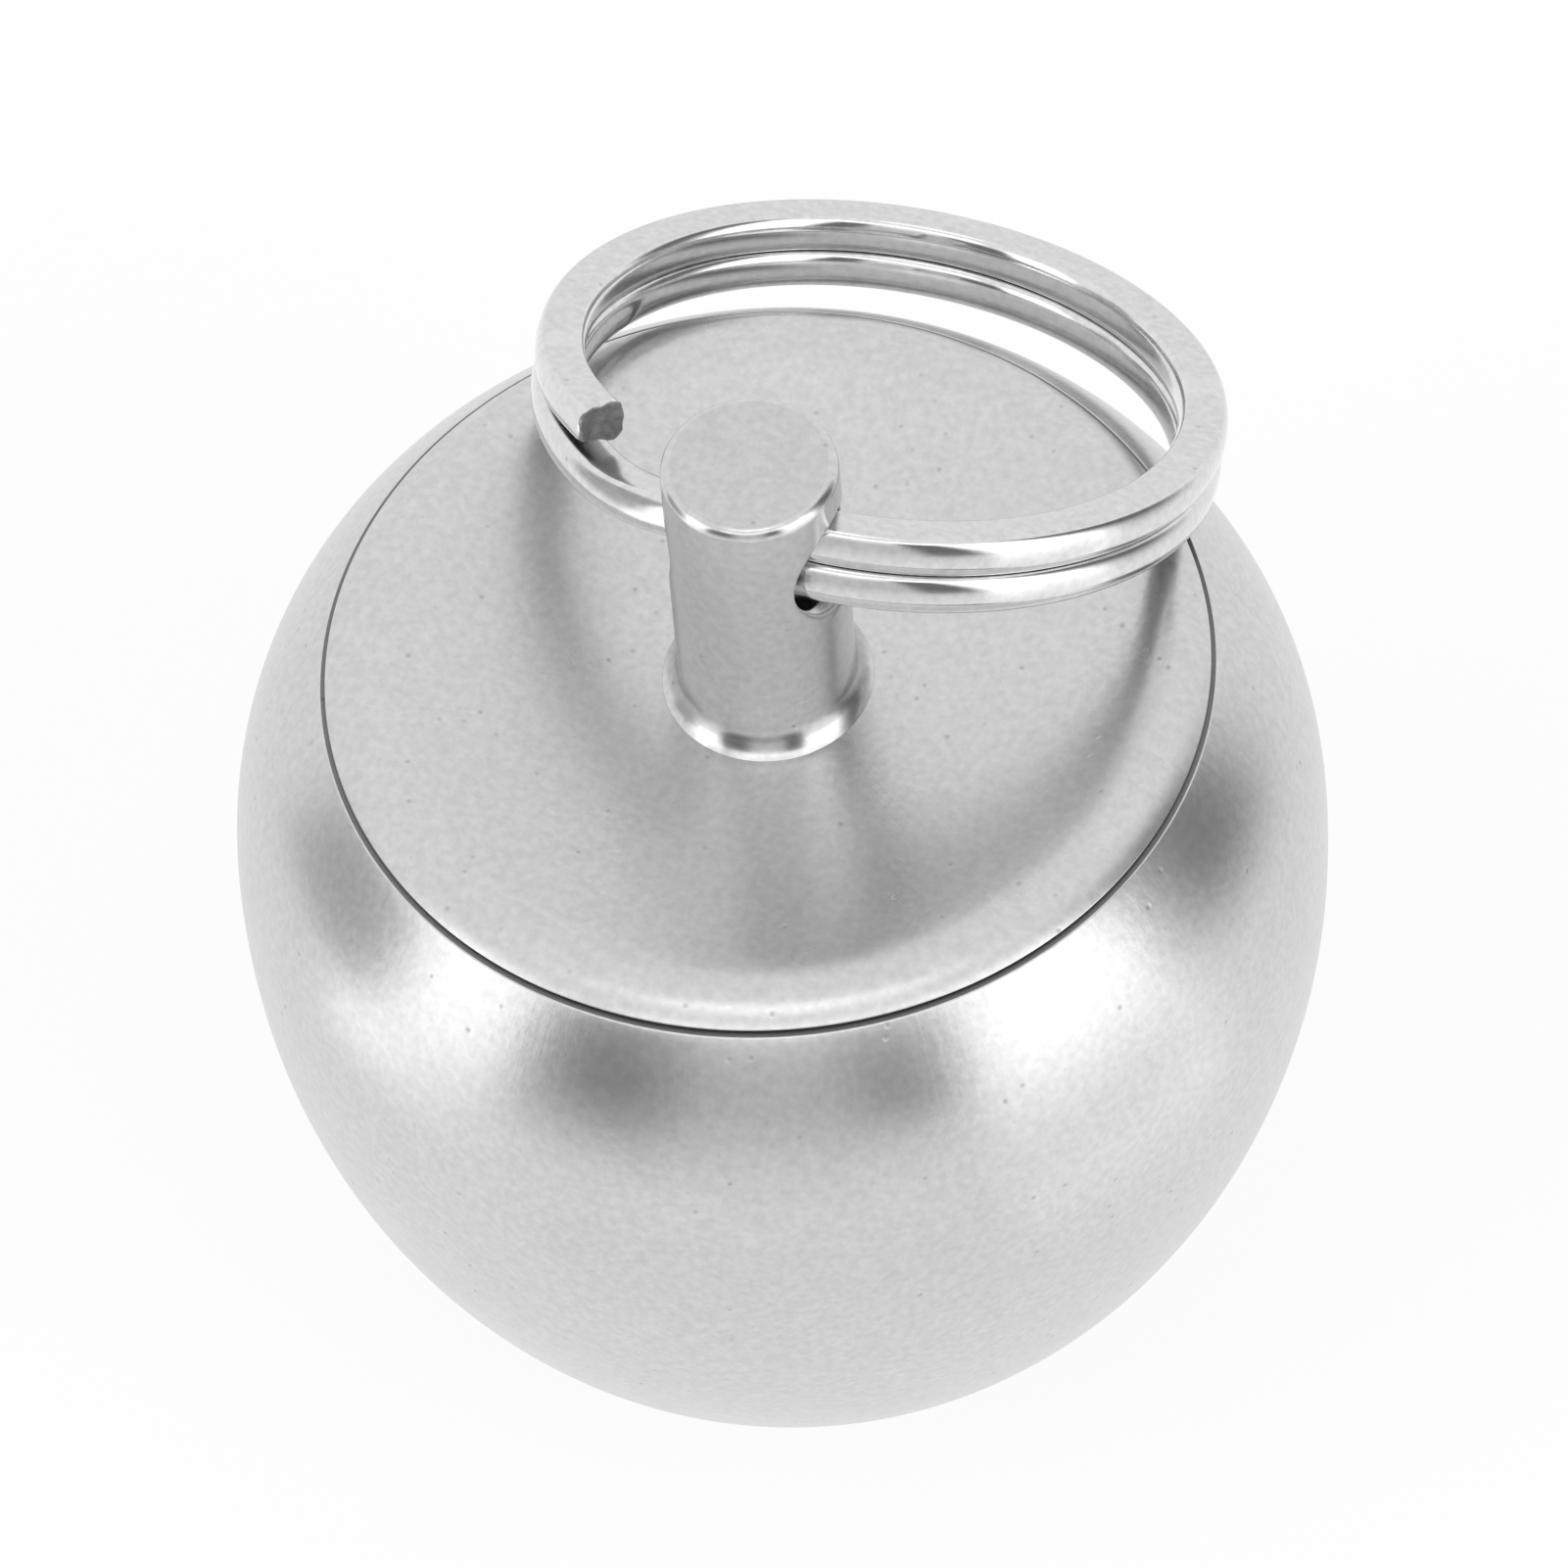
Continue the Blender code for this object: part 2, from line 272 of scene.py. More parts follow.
def grey(level: float) -> tuple[float, float, float, float]:
    """A neutral colour of a level."""
    return (level, level, level, 1.0)


class Graph:
    """A node tree, with short calls that add nodes and join them."""

    def __init__(self, tree: bpy.types.NodeTree) -> None:
        """Take hold of a tree."""
        self.tree = tree

    def feed(self, node: bpy.types.Node, inputs: Mapping) -> None:
        """Join or set inputs of a node.

        Args:
            node: The node.
            inputs: A value or another node's output for each named or numbered input.
        """
        for name, value in inputs.items():
            if isinstance(value, bpy.types.NodeSocket):
                self.tree.links.new(value, node.inputs[name])
            else:
                node.inputs[name].default_value = value

    def add(self, kind: str, inputs: Mapping | None = None, **settings: object) -> bpy.types.Node:
        """Add a node.

        Args:
            kind: The node's type, such as ShaderNodeMath.
            inputs: A value or another node's output for each named or numbered input.
            **settings: The node's own properties.

        Returns:
            The new node.
        """
        node = self.tree.nodes.new(kind)
        for name, setting in settings.items():
            setattr(node, name, setting)
        self.feed(node, inputs or {})
        return node

    def group(self, shared: bpy.types.NodeTree, **values: Value) -> Sockets:
        """Place a shared group, with its inputs by name, underscores standing for spaces."""
        inputs = {name.replace("_", " "): value for name, value in values.items()}
        return self.add("ShaderNodeGroup", inputs, node_tree=shared).outputs

    def math(self, operation: str, *values: Value) -> bpy.types.NodeSocket:
        """Add a Math node and give its result."""
        return self.add("ShaderNodeMath", dict(enumerate(values)), operation=operation).outputs[0]

    def vector(self, operation: str, inputs: Mapping) -> Sockets:
        """Add a Vector Math node and give its results."""
        return self.add("ShaderNodeVectorMath", inputs, operation=operation).outputs

    def mix(self, share: Value, first: Value, second: Value) -> bpy.types.NodeSocket:
        """Mix two numbers by a share."""
        return self.add("ShaderNodeMix", {"Factor": share, 2: first, 3: second}).outputs[0]

    def blend(self, share: Value, first: Value, second: Value) -> bpy.types.NodeSocket:
        """Mix two colours by a share."""
        inputs = {"Factor": share, 6: first, 7: second}
        return self.add("ShaderNodeMix", inputs, data_type="RGBA").outputs[2]

    def ease(
        self, value: Value, low: Value, high: Value, start: Value, end: Value
    ) -> bpy.types.NodeSocket:
        """Map a range of values smoothly to another.

        Args:
            value: What is mapped.
            low: The value that gives start.
            high: The value that gives end.
            start: The result at low.
            end: The result at high.

        Returns:
            The mapped value.
        """
        inputs = {"Value": value, "From Min": low, "From Max": high, "To Min": start, "To Max": end}
        return self.add("ShaderNodeMapRange", inputs, interpolation_type="SMOOTHSTEP").outputs[0]

    def edge(self, value: Value, limit: Value, softness: Value, start: float) -> Value:
        """Turn softly from 0 to 1, or from 1 to 0, where a value passes a limit.

        Args:
            value: What is compared.
            limit: Where the turn has its middle.
            softness: How far the turn reaches to each side.
            start: What lies before it, 0 or 1.

        Returns:
            The mask.
        """
        low = self.math("SUBTRACT", limit, softness)
        high = self.math("ADD", limit, softness)
        return self.ease(value, low, high, start, 1.0 - start)

    def place(self) -> bpy.types.NodeSocket:
        """Add a point's place on its object."""
        return self.add("ShaderNodeTexCoord").outputs["Object"]

    def turned_place(self) -> tuple[bpy.types.NodeSocket, ...]:
        """Add a point's place as it lies to the Z axis.

        Returns:
            The level way out from the axis to the point, its length, and the point's height.
        """
        place = self.place()
        out = self.vector("MULTIPLY", {0: place, 1: (1.0, 1.0, 0.0)})[0]
        radius = self.vector("LENGTH", {0: out})["Value"]
        return out, radius, self.add("ShaderNodeSeparateXYZ", {0: place}).outputs["Z"]

    def cloud(
        self, place: Value, scale: Value, detail: float = 2.0, roughness: float = 0.5
    ) -> bpy.types.NodeSocket:
        """Add a soft noise.

        Args:
            place: The vector at which it is read.
            scale: How many of its lumps go to one unit of the vector.
            detail: How many finer layers it has.
            roughness: How strong the finer layers are.

        Returns:
            Its strength, from 0 to 1.
        """
        inputs = {"Vector": place, "Scale": scale, "Detail": detail, "Roughness": roughness}
        return self.add("ShaderNodeTexNoise", inputs).outputs["Fac"]


def start_group(
    name: str, inputs: Iterable[str], outputs: Iterable[str]
) -> tuple[Graph, Sockets, bpy.types.Node]:
    """Begin a shader node group whose sockets all hold a number.

    Args:
        name: The group's name.
        inputs: Names of its inputs.
        outputs: Names of its outputs.

    Returns:
        The group's graph, what its inputs give, and its output node.
    """
    tree = bpy.data.node_groups.new(name, "ShaderNodeTree")
    for direction, names in (("INPUT", inputs), ("OUTPUT", outputs)):
        for socket in names:
            tree.interface.new_socket(socket, in_out=direction, socket_type="NodeSocketFloat")
    graph = Graph(tree)
    return graph, graph.add("NodeGroupInput").outputs, graph.add("NodeGroupOutput")


class Effects:
    """The shader node groups that the finishes share."""

    CLOUD_SCALE = 260.0
    RUB_RADIUS = 0.016

    def __init__(self) -> None:
        """Build every group once."""
        self.grain = self.make_grain()
        self.turning = self.make_turning()
        self.rubbing = self.make_rubbing()
        self.wear = self.make_wear()

    @classmethod
    def make_grain(cls) -> bpy.types.NodeTree:
        """Fine blasted grain with small scattered pits.

        Returns:
            A group that gives a height, a mask of the pits, a slow cloud and the grain's mottle.
        """
        graph, given, out = start_group(
            "Blasted Grain",
            ("Grain Size", "Pit Spacing", "Pit Size", "Pit Share", "Pit Depth"),
            ("Height", "Pits", "Cloud", "Mottle"),
        )
        place = graph.place()
        fine_scale = graph.math("DIVIDE", 1.0, given["Grain Size"])
        fine = graph.cloud(place, fine_scale, roughness=0.55)
        pit_scale = graph.math("DIVIDE", 1.0, given["Pit Spacing"])
        cells = graph.add("ShaderNodeTexVoronoi", {"Vector": place, "Scale": pit_scale}).outputs
        reach = graph.math("DIVIDE", given["Pit Size"], given["Pit Spacing"])
        dimple = graph.ease(cells["Distance"], 0.0, reach, 1.0, 0.0)
        lot = graph.add("ShaderNodeSeparateColor", {"Color": cells["Color"]}).outputs[0]
        chosen = graph.math("LESS_THAN", lot, given["Pit Share"])
        pits = graph.math("MULTIPLY", dimple, chosen)
        depth = graph.math("MULTIPLY", pits, given["Pit Depth"])
        graph.feed(out, {
            "Height": graph.math("SUBTRACT", fine, depth),
            "Pits": pits,
            "Cloud": graph.cloud(place, cls.CLOUD_SCALE),
            "Mottle": fine,
        })
        return graph.tree

    @staticmethod
    def make_turning() -> bpy.types.NodeTree:
        """Tool marks that run round the Z axis.

        Returns:
            A group that gives the marks' height.
        """
        graph, given, out = start_group("Turning Marks", ("Pitch", "Across Face"), ("Height",))
        _, radius, height = graph.turned_place()
        reach = graph.mix(given["Across Face"], height, radius)
        inputs = {"W": graph.math("DIVIDE", reach, given["Pitch"]), "Scale": 1.0, "Detail": 2.0}
        marks = graph.add("ShaderNodeTexNoise", inputs, noise_dimensions="1D")
        graph.feed(out, {"Height": marks.outputs["Fac"]})
        return graph.tree

    @classmethod
    def make_rubbing(cls) -> bpy.types.NodeTree:
        """Faint rub marks that run from the middle outwards and down the sides.

        Returns:
            A group that gives the marks' height.
        """
        graph, given, out = start_group("Rub Marks", ("Width", "Length"), ("Height",))
        way, radius, height = graph.turned_place()
        round_way = graph.vector("NORMALIZE", {0: way})[0]
        wide = graph.math("DIVIDE", cls.RUB_RADIUS, given["Width"])
        spread = graph.vector("SCALE", {0: round_way, "Scale": wide})[0]
        along = graph.math("ADD", height, radius)
        steps = graph.math("DIVIDE", along, given["Length"])
        lift = graph.add("ShaderNodeCombineXYZ", {"Z": steps}).outputs[0]
        streaks = graph.cloud(graph.vector("ADD", {0: spread, 1: lift})[0], 1.0)
        graph.feed(out, {"Height": streaks})
        return graph.tree

    @staticmethod
    def make_wear() -> bpy.types.NodeTree:
        """Rubbed edges, broken up by a noise. The finishes make them smoother, as wear does, and
        raise their colour as a painted highlight.

        Returns:
            A group that gives a mask that is 1 on worn edges.
        """
        graph, given, out = start_group("Edge Wear And Highlight", ("Start", "End", "Patch Size"), ("Mask",))
        edge = graph.add("ShaderNodeNewGeometry").outputs["Pointiness"]
        sharp = graph.ease(edge, given["Start"], given["End"], 0.0, 1.0)
        scale = graph.math("DIVIDE", 1.0, given["Patch Size"])
        patches = graph.cloud(graph.place(), scale, detail=3.0)
        broken = graph.ease(patches, low=0.3, high=0.6, start=0.4, end=1.0)
        graph.feed(out, {"Mask": graph.math("MULTIPLY", sharp, broken)})
        return graph.tree


@dataclass(frozen=True)
class Finish:
    """What every finish has: a grey, a roughness that wanders, and a grain with pits."""

    name: str
    colour: float = 0.60
    roughness: float = 0.28
    roughness_swing: float = 0.08
    grain_size: float = 0.00026
    grain_height: float = 0.0000034
    pit_spacing: float = 0.0008
    pit_size: float = 0.00012
    pit_share: float = 0.5
    pit_depth: float = 2.0

    def start(self, effects: Effects) -> tuple[bpy.types.Material, Graph, Sockets, Value]:
        """Begin the material.

        Args:
            effects: The shared node groups.

        Returns:
            The material, its graph, what the grain gives, and the roughness that wanders.
        """
        material = bpy.data.materials.new(self.name)
        material.use_nodes = True
        graph = Graph(material.node_tree)
        grain = graph.group(
            effects.grain, Grain_Size=self.grain_size, Pit_Spacing=self.pit_spacing,
            Pit_Size=self.pit_size, Pit_Share=self.pit_share, Pit_Depth=self.pit_depth,
        )
        low = self.roughness - self.roughness_swing / 2
        rough = graph.math("MULTIPLY_ADD", grain["Cloud"], self.roughness_swing, low)
        return material, graph, grain, rough

    @staticmethod
    def shade(graph: Graph, height: Value, distance: float, **inputs: Value) -> None:
        """Feed the shader and its bump.

        Args:
            graph: The material's graph.
            height: The height of the surface's bumps.
            distance: The length that one unit of height stands for.
            **inputs: The shader's other inputs, underscores standing for spaces.
        """
        relief = {"Height": height, "Distance": distance, "Strength": 1.0}
        normal = graph.add("ShaderNodeBump", relief).outputs["Normal"]
        named = {name.replace("_", " "): value for name, value in inputs.items()}
        graph.feed(graph.tree.nodes["Principled BSDF"], {"Normal": normal, **named})


@dataclass(frozen=True)
class SteelFinish(Finish):
    """One finish of the steel."""

    mottle: float = 0.18
    # Share of the colour left in the pits: painted shade in the small recesses.
    pit_shade_tone: float = 0.72
    pit_roughness: float = 0.12
    marks: Marks | None = None
    mark_pitch: float = 0.00006
    mark_height: float = 0.0000015
    rub_height: float = 0.0
    rub_width: float = 0.0002
    rub_length: float = 0.003
    anisotropy: float = 0.0
    wear: float = 0.5
    wear_start: float = 0.53
    wear_end: float = 0.62
    wear_patch: float = 0.0012
    # Worn edges: smoother, as real wear leaves them, and raised in colour, which is a painted
    # highlight.
    worn_highlight_tone: float = 1.15
    worn_polish: float = 0.4
    highlight_cap: float = 0.8

    def make(self, effects: Effects) -> bpy.types.Material:
        """Build the material.

        Args:
            effects: The shared node groups.

        Returns:
            The material.
        """
        material, graph, grain, spread = self.start(effects)
        wear = graph.group(
            effects.wear, Start=self.wear_start, End=self.wear_end, Patch_Size=self.wear_patch
        )
        # The edge mask lowers roughness (real wear) and lifts the colour toward a brighter grey
        # (painted highlight).
        wear_and_highlight = graph.math("MULTIPLY", wear["Mask"], self.wear)
        pitted = graph.math("MULTIPLY_ADD", grain["Pits"], self.pit_roughness, spread)
        rough = graph.math("MULTIPLY_ADD", wear_and_highlight, -self.worn_polish * self.roughness, pitted)
        dark, light = (grey(self.colour * (1 + side * self.mottle)) for side in (-1, 1))
        tone = graph.blend(grain["Mottle"], dark, light)
        # Painted shade: the pits are darkened in colour, beside their real bump and roughness.
        pit_shaded = graph.blend(grain["Pits"], tone, grey(self.colour * self.pit_shade_tone))
        bright = grey(min(self.colour * self.worn_highlight_tone, self.highlight_cap))
        height = graph.math("MULTIPLY", grain["Height"], self.grain_height)
        if self.rub_height:
            rubs = graph.group(effects.rubbing, Width=self.rub_width, Length=self.rub_length)
            height = graph.math("MULTIPLY_ADD", rubs["Height"], self.rub_height, height)
        if self.marks:
            across = self.marks.value
            lines = graph.group(effects.turning, Pitch=self.mark_pitch, Across_Face=across)
            height = graph.math("MULTIPLY_ADD", lines["Height"], self.mark_height, height)
        turned = {}
        if self.anisotropy:
            tangent = graph.add("ShaderNodeTangent", direction_type="RADIAL", axis="Z")
            turned = {
                "Anisotropic": self.anisotropy,
                "Anisotropic_Rotation": QUARTER_TURN,
                "Tangent": tangent.outputs["Tangent"],
            }
        colour = graph.blend(wear_and_highlight, pit_shaded, bright)
        self.shade(graph, height, 1.0, Metallic=1.0, Roughness=rough, Base_Color=colour, **turned)
        return material


@dataclass(frozen=True)
class RubberFinish(Finish):
    """The seal ring's soft black rubber, a little dusty."""

    name: str = "seal rubber"
    colour: float = 0.025
    roughness: float = 0.55
    roughness_swing: float = 0.2
    grain_size: float = 0.00008
    grain_height: float = 0.000004
    pit_spacing: float = 0.0005
    pit_size: float = 0.00006
    pit_share: float = 0.3
    pit_depth: float = 1.0
    dust_tone: float = 2.2

    def make(self, effects: Effects) -> bpy.types.Material:
        """Build the material.

        Args:
            effects: The shared node groups.

        Returns:
            The material.
        """
        material, graph, grain, rough = self.start(effects)
        dusty = grey(self.colour * self.dust_tone)
        tone = graph.blend(grain["Cloud"], grey(self.colour), dusty)
        self.shade(graph, grain["Height"], self.grain_height, Roughness=rough, Base_Color=tone)
        return material


class Workshop:
    """Every finish, built once and set out by the parts that wear it."""

    def __init__(self) -> None:
        """Build the materials, each part's in the order of its faces."""
        self.effects = Effects()
        self.turned_parts = [
            self.steel("satin steel", rub_height=0.0000016, wear=0.0),
            self.steel(
                "turned bore", roughness=0.30, pit_share=0.15,
                marks=Marks.ALONG_AXIS, mark_height=0.000004,
            ),
            self.steel(
                "faced end", colour=0.62, roughness=0.26, pit_share=0.2,
                marks=Marks.ACROSS_FACE, mark_height=0.000003, anisotropy=0.4,
            ),
            # Painted shade: a dark strip on both parts at the seam, standing in for the shade of
            # the gap between lid and jar.
            self.steel(
                "painted seam shade", colour=0.20, roughness=0.55, grain_size=0.0001,
                pit_share=0.1, wear=0.0,
            ),
        ]
        self.stem = [
            self.steel(
                "turned shaft", roughness=0.20, grain_height=0.0000014, pit_share=0.2,
                marks=Marks.ALONG_AXIS, mark_height=0.0000004, anisotropy=0.5,
            ),
            self.steel(
                "turned top", colour=0.56, roughness=0.27, grain_height=0.0000012, pit_share=0.2,
                marks=Marks.ACROSS_FACE, mark_pitch=0.0001, mark_height=0.0000008,
                anisotropy=0.5, wear=0.0,
            ),
            self.steel(
                "drilled hole", colour=0.58, roughness=0.18, grain_height=0.000001, pit_share=0.1
            ),
        ]
        self.wire = [
            self.steel(
                "wire side", colour=0.68, roughness=0.10, roughness_swing=0.05,
                grain_height=0.0000006, pit_share=0.15, wear=0.2,
            ),
            self.steel(
                "wire flat", colour=0.64, roughness=0.24, roughness_swing=0.1,
                grain_height=0.0000012, pit_share=0.3,
            ),
            self.steel(
                "wire cut end", colour=0.36, roughness=0.48, mottle=0.4, grain_size=0.00018,
                grain_height=0.00002, pit_share=0.6, wear=0.1,
            ),
        ]
        self.seal = [RubberFinish().make(self.effects)]

    def steel(self, name: str, **settings: float | Marks) -> bpy.types.Material:
        """Build one finish of the steel."""
        return SteelFinish(name, **settings).make(self.effects)


# Threads


@dataclass(frozen=True)
class Thread:
    """A right-hand thread, cut into a spun mesh by moving its vertices."""

    lead: float = 0.0015
    depth: float = 0.00034
    crest_share: float = 0.26
    root_share: float = 0.30
    run_out: float = 0.0005
    row: float = 0.00006
    wall_reach: float = 0.000001

    def rows(self, radius: float, start: float, end: float) -> list[Point]:
        """Outline points of the plain wall that the thread is cut into, from start to end."""
        heights = np.linspace(start, end, round(abs(start - end) / self.row) + 1)
        return [(radius, height) for height in heights]

    def rise(self, angle: float, height: float) -> float:
        """How far the ridge stands up at a place.

        Args:
            angle: The place's direction round the axis, from X.
            height: Its height.

        Returns:
            The share of the depth, from 0 in the root to 1 on the crest.
        """
        share = (height / self.lead - angle / math.tau) % 1.0
        off_crest = 2 * abs(share - 0.5)
        flank = 1 - self.root_share - self.crest_share
        return min(max((1 - self.root_share - off_crest) / flank, 0), 1)

    def cut(self, bm: bmesh.types.BMesh, radius: float, top: float, bottom: float) -> None:
        """Raise the ridge on the wall.

        Args:
            bm: The spun mesh.
            radius: Radius of the plain wall, which is the thread's root.
            top: Height at which the wall starts.
            bottom: Height at which it ends.
        """
        for vert in bm.verts:
            x, y, height = vert.co
            if abs(math.hypot(x, y) - radius) > self.wall_reach:
                continue
            fade = smooth_step((top - height) / self.run_out)
            fade *= smooth_step((height - bottom) / self.run_out)
            grow = 1 + self.depth * fade * self.rise(math.atan2(y, x), height) / radius
            vert.co = (x * grow, y * grow, height)


# The container


@dataclass
class Seam:
    """Where the lid meets the jar, and the levels that both take from the frame."""

    gap: float = 0.00008
    edge_break: float = 0.00008
    shade_width: float = 0.00025
    plug_clearance: float = 0.0003
    groove_height: float = 0.0018
    land_height: float = 0.0009
    seat_radius: float = 0.0105

    def __post_init__(self) -> None:
        """Count the levels of both parts from the top of the frame's jar."""
        self.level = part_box("apple_body")[1].z + self.plug_clearance / 2
        self.rim = self.level - self.gap / 2
        self.seat = self.level + self.gap / 2
        self.plug_start = self.level + self.plug_clearance / 2
        self.groove_top = self.plug_start - self.land_height
        self.groove_bottom = self.groove_top - self.groove_height
        self.well = self.groove_bottom - self.plug_clearance


@dataclass
class Jar:
    """The apple's body: belly, flat foot, threaded mouth and bored chamber."""

    shop: Workshop
    seam: Seam
    thread: Thread
    belly_height: float = 0.0171
    shoulder_reach: float = 0.01292
    shoulder_power: float = 2.636
    belly_reach: float = 0.0202
    belly_power: float = 1.948
    foot_radius: float = 0.0068
    foot_curve_height: float = 0.0011
    mouth_round: float = 0.00012
    well_round: float = 0.0001
    thread_root: float = 0.00972
    thread_end: float = 0.02035
    chamber_radius: float = 0.0094
    chamber_floor: float = 0.0030
    chamber_corner: float = 0.0025
    facets: int = 256
    profile_steps: int = 48
    curve_steps: int = 12
    foot_steps: int = 7
    floor_steps: int = 6

    def __post_init__(self) -> None:
        """Read the belly's radius from the frame, and place the edge and the thread."""
        self.belly_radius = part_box("apple_body")[1].x
        self.edge = self.shoulder_radius(self.seam.rim - self.belly_height)
        self.thread_top = self.seam.well - (self.seam.seat_radius - self.thread_root)

    def shoulder_radius(self, rise: float) -> float:
        """Radius of the body above its widest place."""
        bend = self.shoulder_power
        return self.belly_radius * (1 - (rise / self.shoulder_reach) ** bend) ** (1 / bend)

    def lower_radius(self, drop: float) -> float:
        """Radius of the body below its widest place."""
        bend = self.belly_power
        return self.belly_radius * (1 - (drop / self.belly_reach) ** bend) ** (1 / bend)

    def foot_curve(self) -> list[Point]:
        """Draw the turn from the flat foot up into the belly, as a quadratic curve.

        Returns:
            The curve's points, from the foot upwards.
        """
        drop = self.belly_height - self.foot_curve_height
        start = Vector((self.lower_radius(drop), self.foot_curve_height))
        bend = self.belly_power - 1
        slope = (drop / self.belly_reach) ** bend / self.belly_reach
        slope *= self.belly_radius / (start.x / self.belly_radius) ** bend
        corner = Vector((start.x - start.y * slope, 0))
        end = Vector((self.foot_radius, 0))
        shares = np.linspace(1, 0, self.curve_steps + 1)
        return [tuple(start * (1 - t) ** 2 + corner * 2 * t * (1 - t) + end * t**2) for t in shares]

    def outside(self) -> list[Point]:
        """Draw the outline from the middle of the foot to just under the seam.

        Returns:
            The outline's points, in order.
        """
        lowest = self.belly_height - self.foot_curve_height
        low_turn = math.asin(lowest / self.belly_reach)
        high_turn = math.asin((self.seam.rim - self.belly_height) / self.shoulder_reach)
        points = level_line(self.foot_radius, 0, self.foot_steps)[:-1] + self.foot_curve()
        for turn in np.linspace(low_turn, 0, self.profile_steps)[1:]:
            drop = self.belly_reach * math.sin(turn)
            points.append((self.lower_radius(drop), self.belly_height - drop))
        for turn in np.linspace(0, high_turn, self.profile_steps)[1:-1]:
            rise = self.shoulder_reach * math.sin(turn)
            points.append((self.shoulder_radius(rise), self.belly_height + rise))
        return points

    def inside(self, before: Point) -> list[Point]:
        """Draw the outline from the seam's edge through the mouth to the middle of the floor.

        Args:
            before: The last point of the outside.

        Returns:
            The outline's points, in order.
        """
        seam = self.seam
        mouth = rounded([
            (*before, 0),
            (self.edge, seam.rim, seam.edge_break),
            (self.edge - seam.shade_width, seam.rim, 0),
            (seam.seat_radius, seam.rim, self.mouth_round),
            (seam.seat_radius, seam.well, self.well_round),
            (self.thread_root, self.thread_top, 0),
        ])[1:-1]
        wall = self.thread.rows(self.thread_root, self.thread_top, self.thread_end)
        step = self.thread_root - self.chamber_radius
        corner = self.chamber_corner
        middle = (self.chamber_radius - corner, self.chamber_floor + corner)
        chamber = [
            (self.chamber_radius, self.thread_end - step),
            *arc(middle, corner, 0, -math.pi / 2, self.curve_steps),
            *level_line(middle[0], self.chamber_floor, self.floor_steps)[-2::-1],
        ]
        return mouth + wall + chamber

    def build(self) -> bpy.types.Object:
        """Make the jar.

        Returns:
            The piece, riding on its body.
        """
        outside = self.outside()
        bm = spin_outline(outside + self.inside(outside[-1]), self.facets, closed=False)
        self.thread.cut(bm, self.thread_root, self.thread_top, self.thread_end)
        jar = make_piece("threaded_jar", bm, self.shop.turned_parts, self.choose_finish)
        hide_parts("apple_body")
        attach(jar, "apple_body")
        return jar

    def choose_finish(self, face: bmesh.types.BMFace) -> TurnedFace:
        """Pick a face's finish by where it lies.

        Args:
            face: The face.

        Returns:
            Satin outside, turned in the bore, faced on the level floors and painted dark on the
            seam's outer strip, as painted shade of the gap.
        """
        middle = face.calc_center_median()
        radius = distance_from_axis(middle)
        level = abs(face.normal.z) > LEVEL_COSINE
        # The outer strip of the level face at the seam takes the painted shade of the gap.
        if level and abs(middle.z - self.seam.level) < self.seam.gap:
            shaded = radius > self.edge - self.seam.shade_width
            return TurnedFace.SEAM_SHADE if shaded else TurnedFace.FACED
        if level and middle.z < self.chamber_floor + MARGIN and radius < self.foot_radius:
            return TurnedFace.FACED
        within = radius < self.seam.seat_radius + MARGIN
        above = middle.z > self.chamber_floor - MERGE_DISTANCE
        faces_in = face.normal.x * middle.x + face.normal.y * middle.y <= MERGE_DISTANCE
        return TurnedFace.BORE if within and above and faces_in else TurnedFace.SATIN


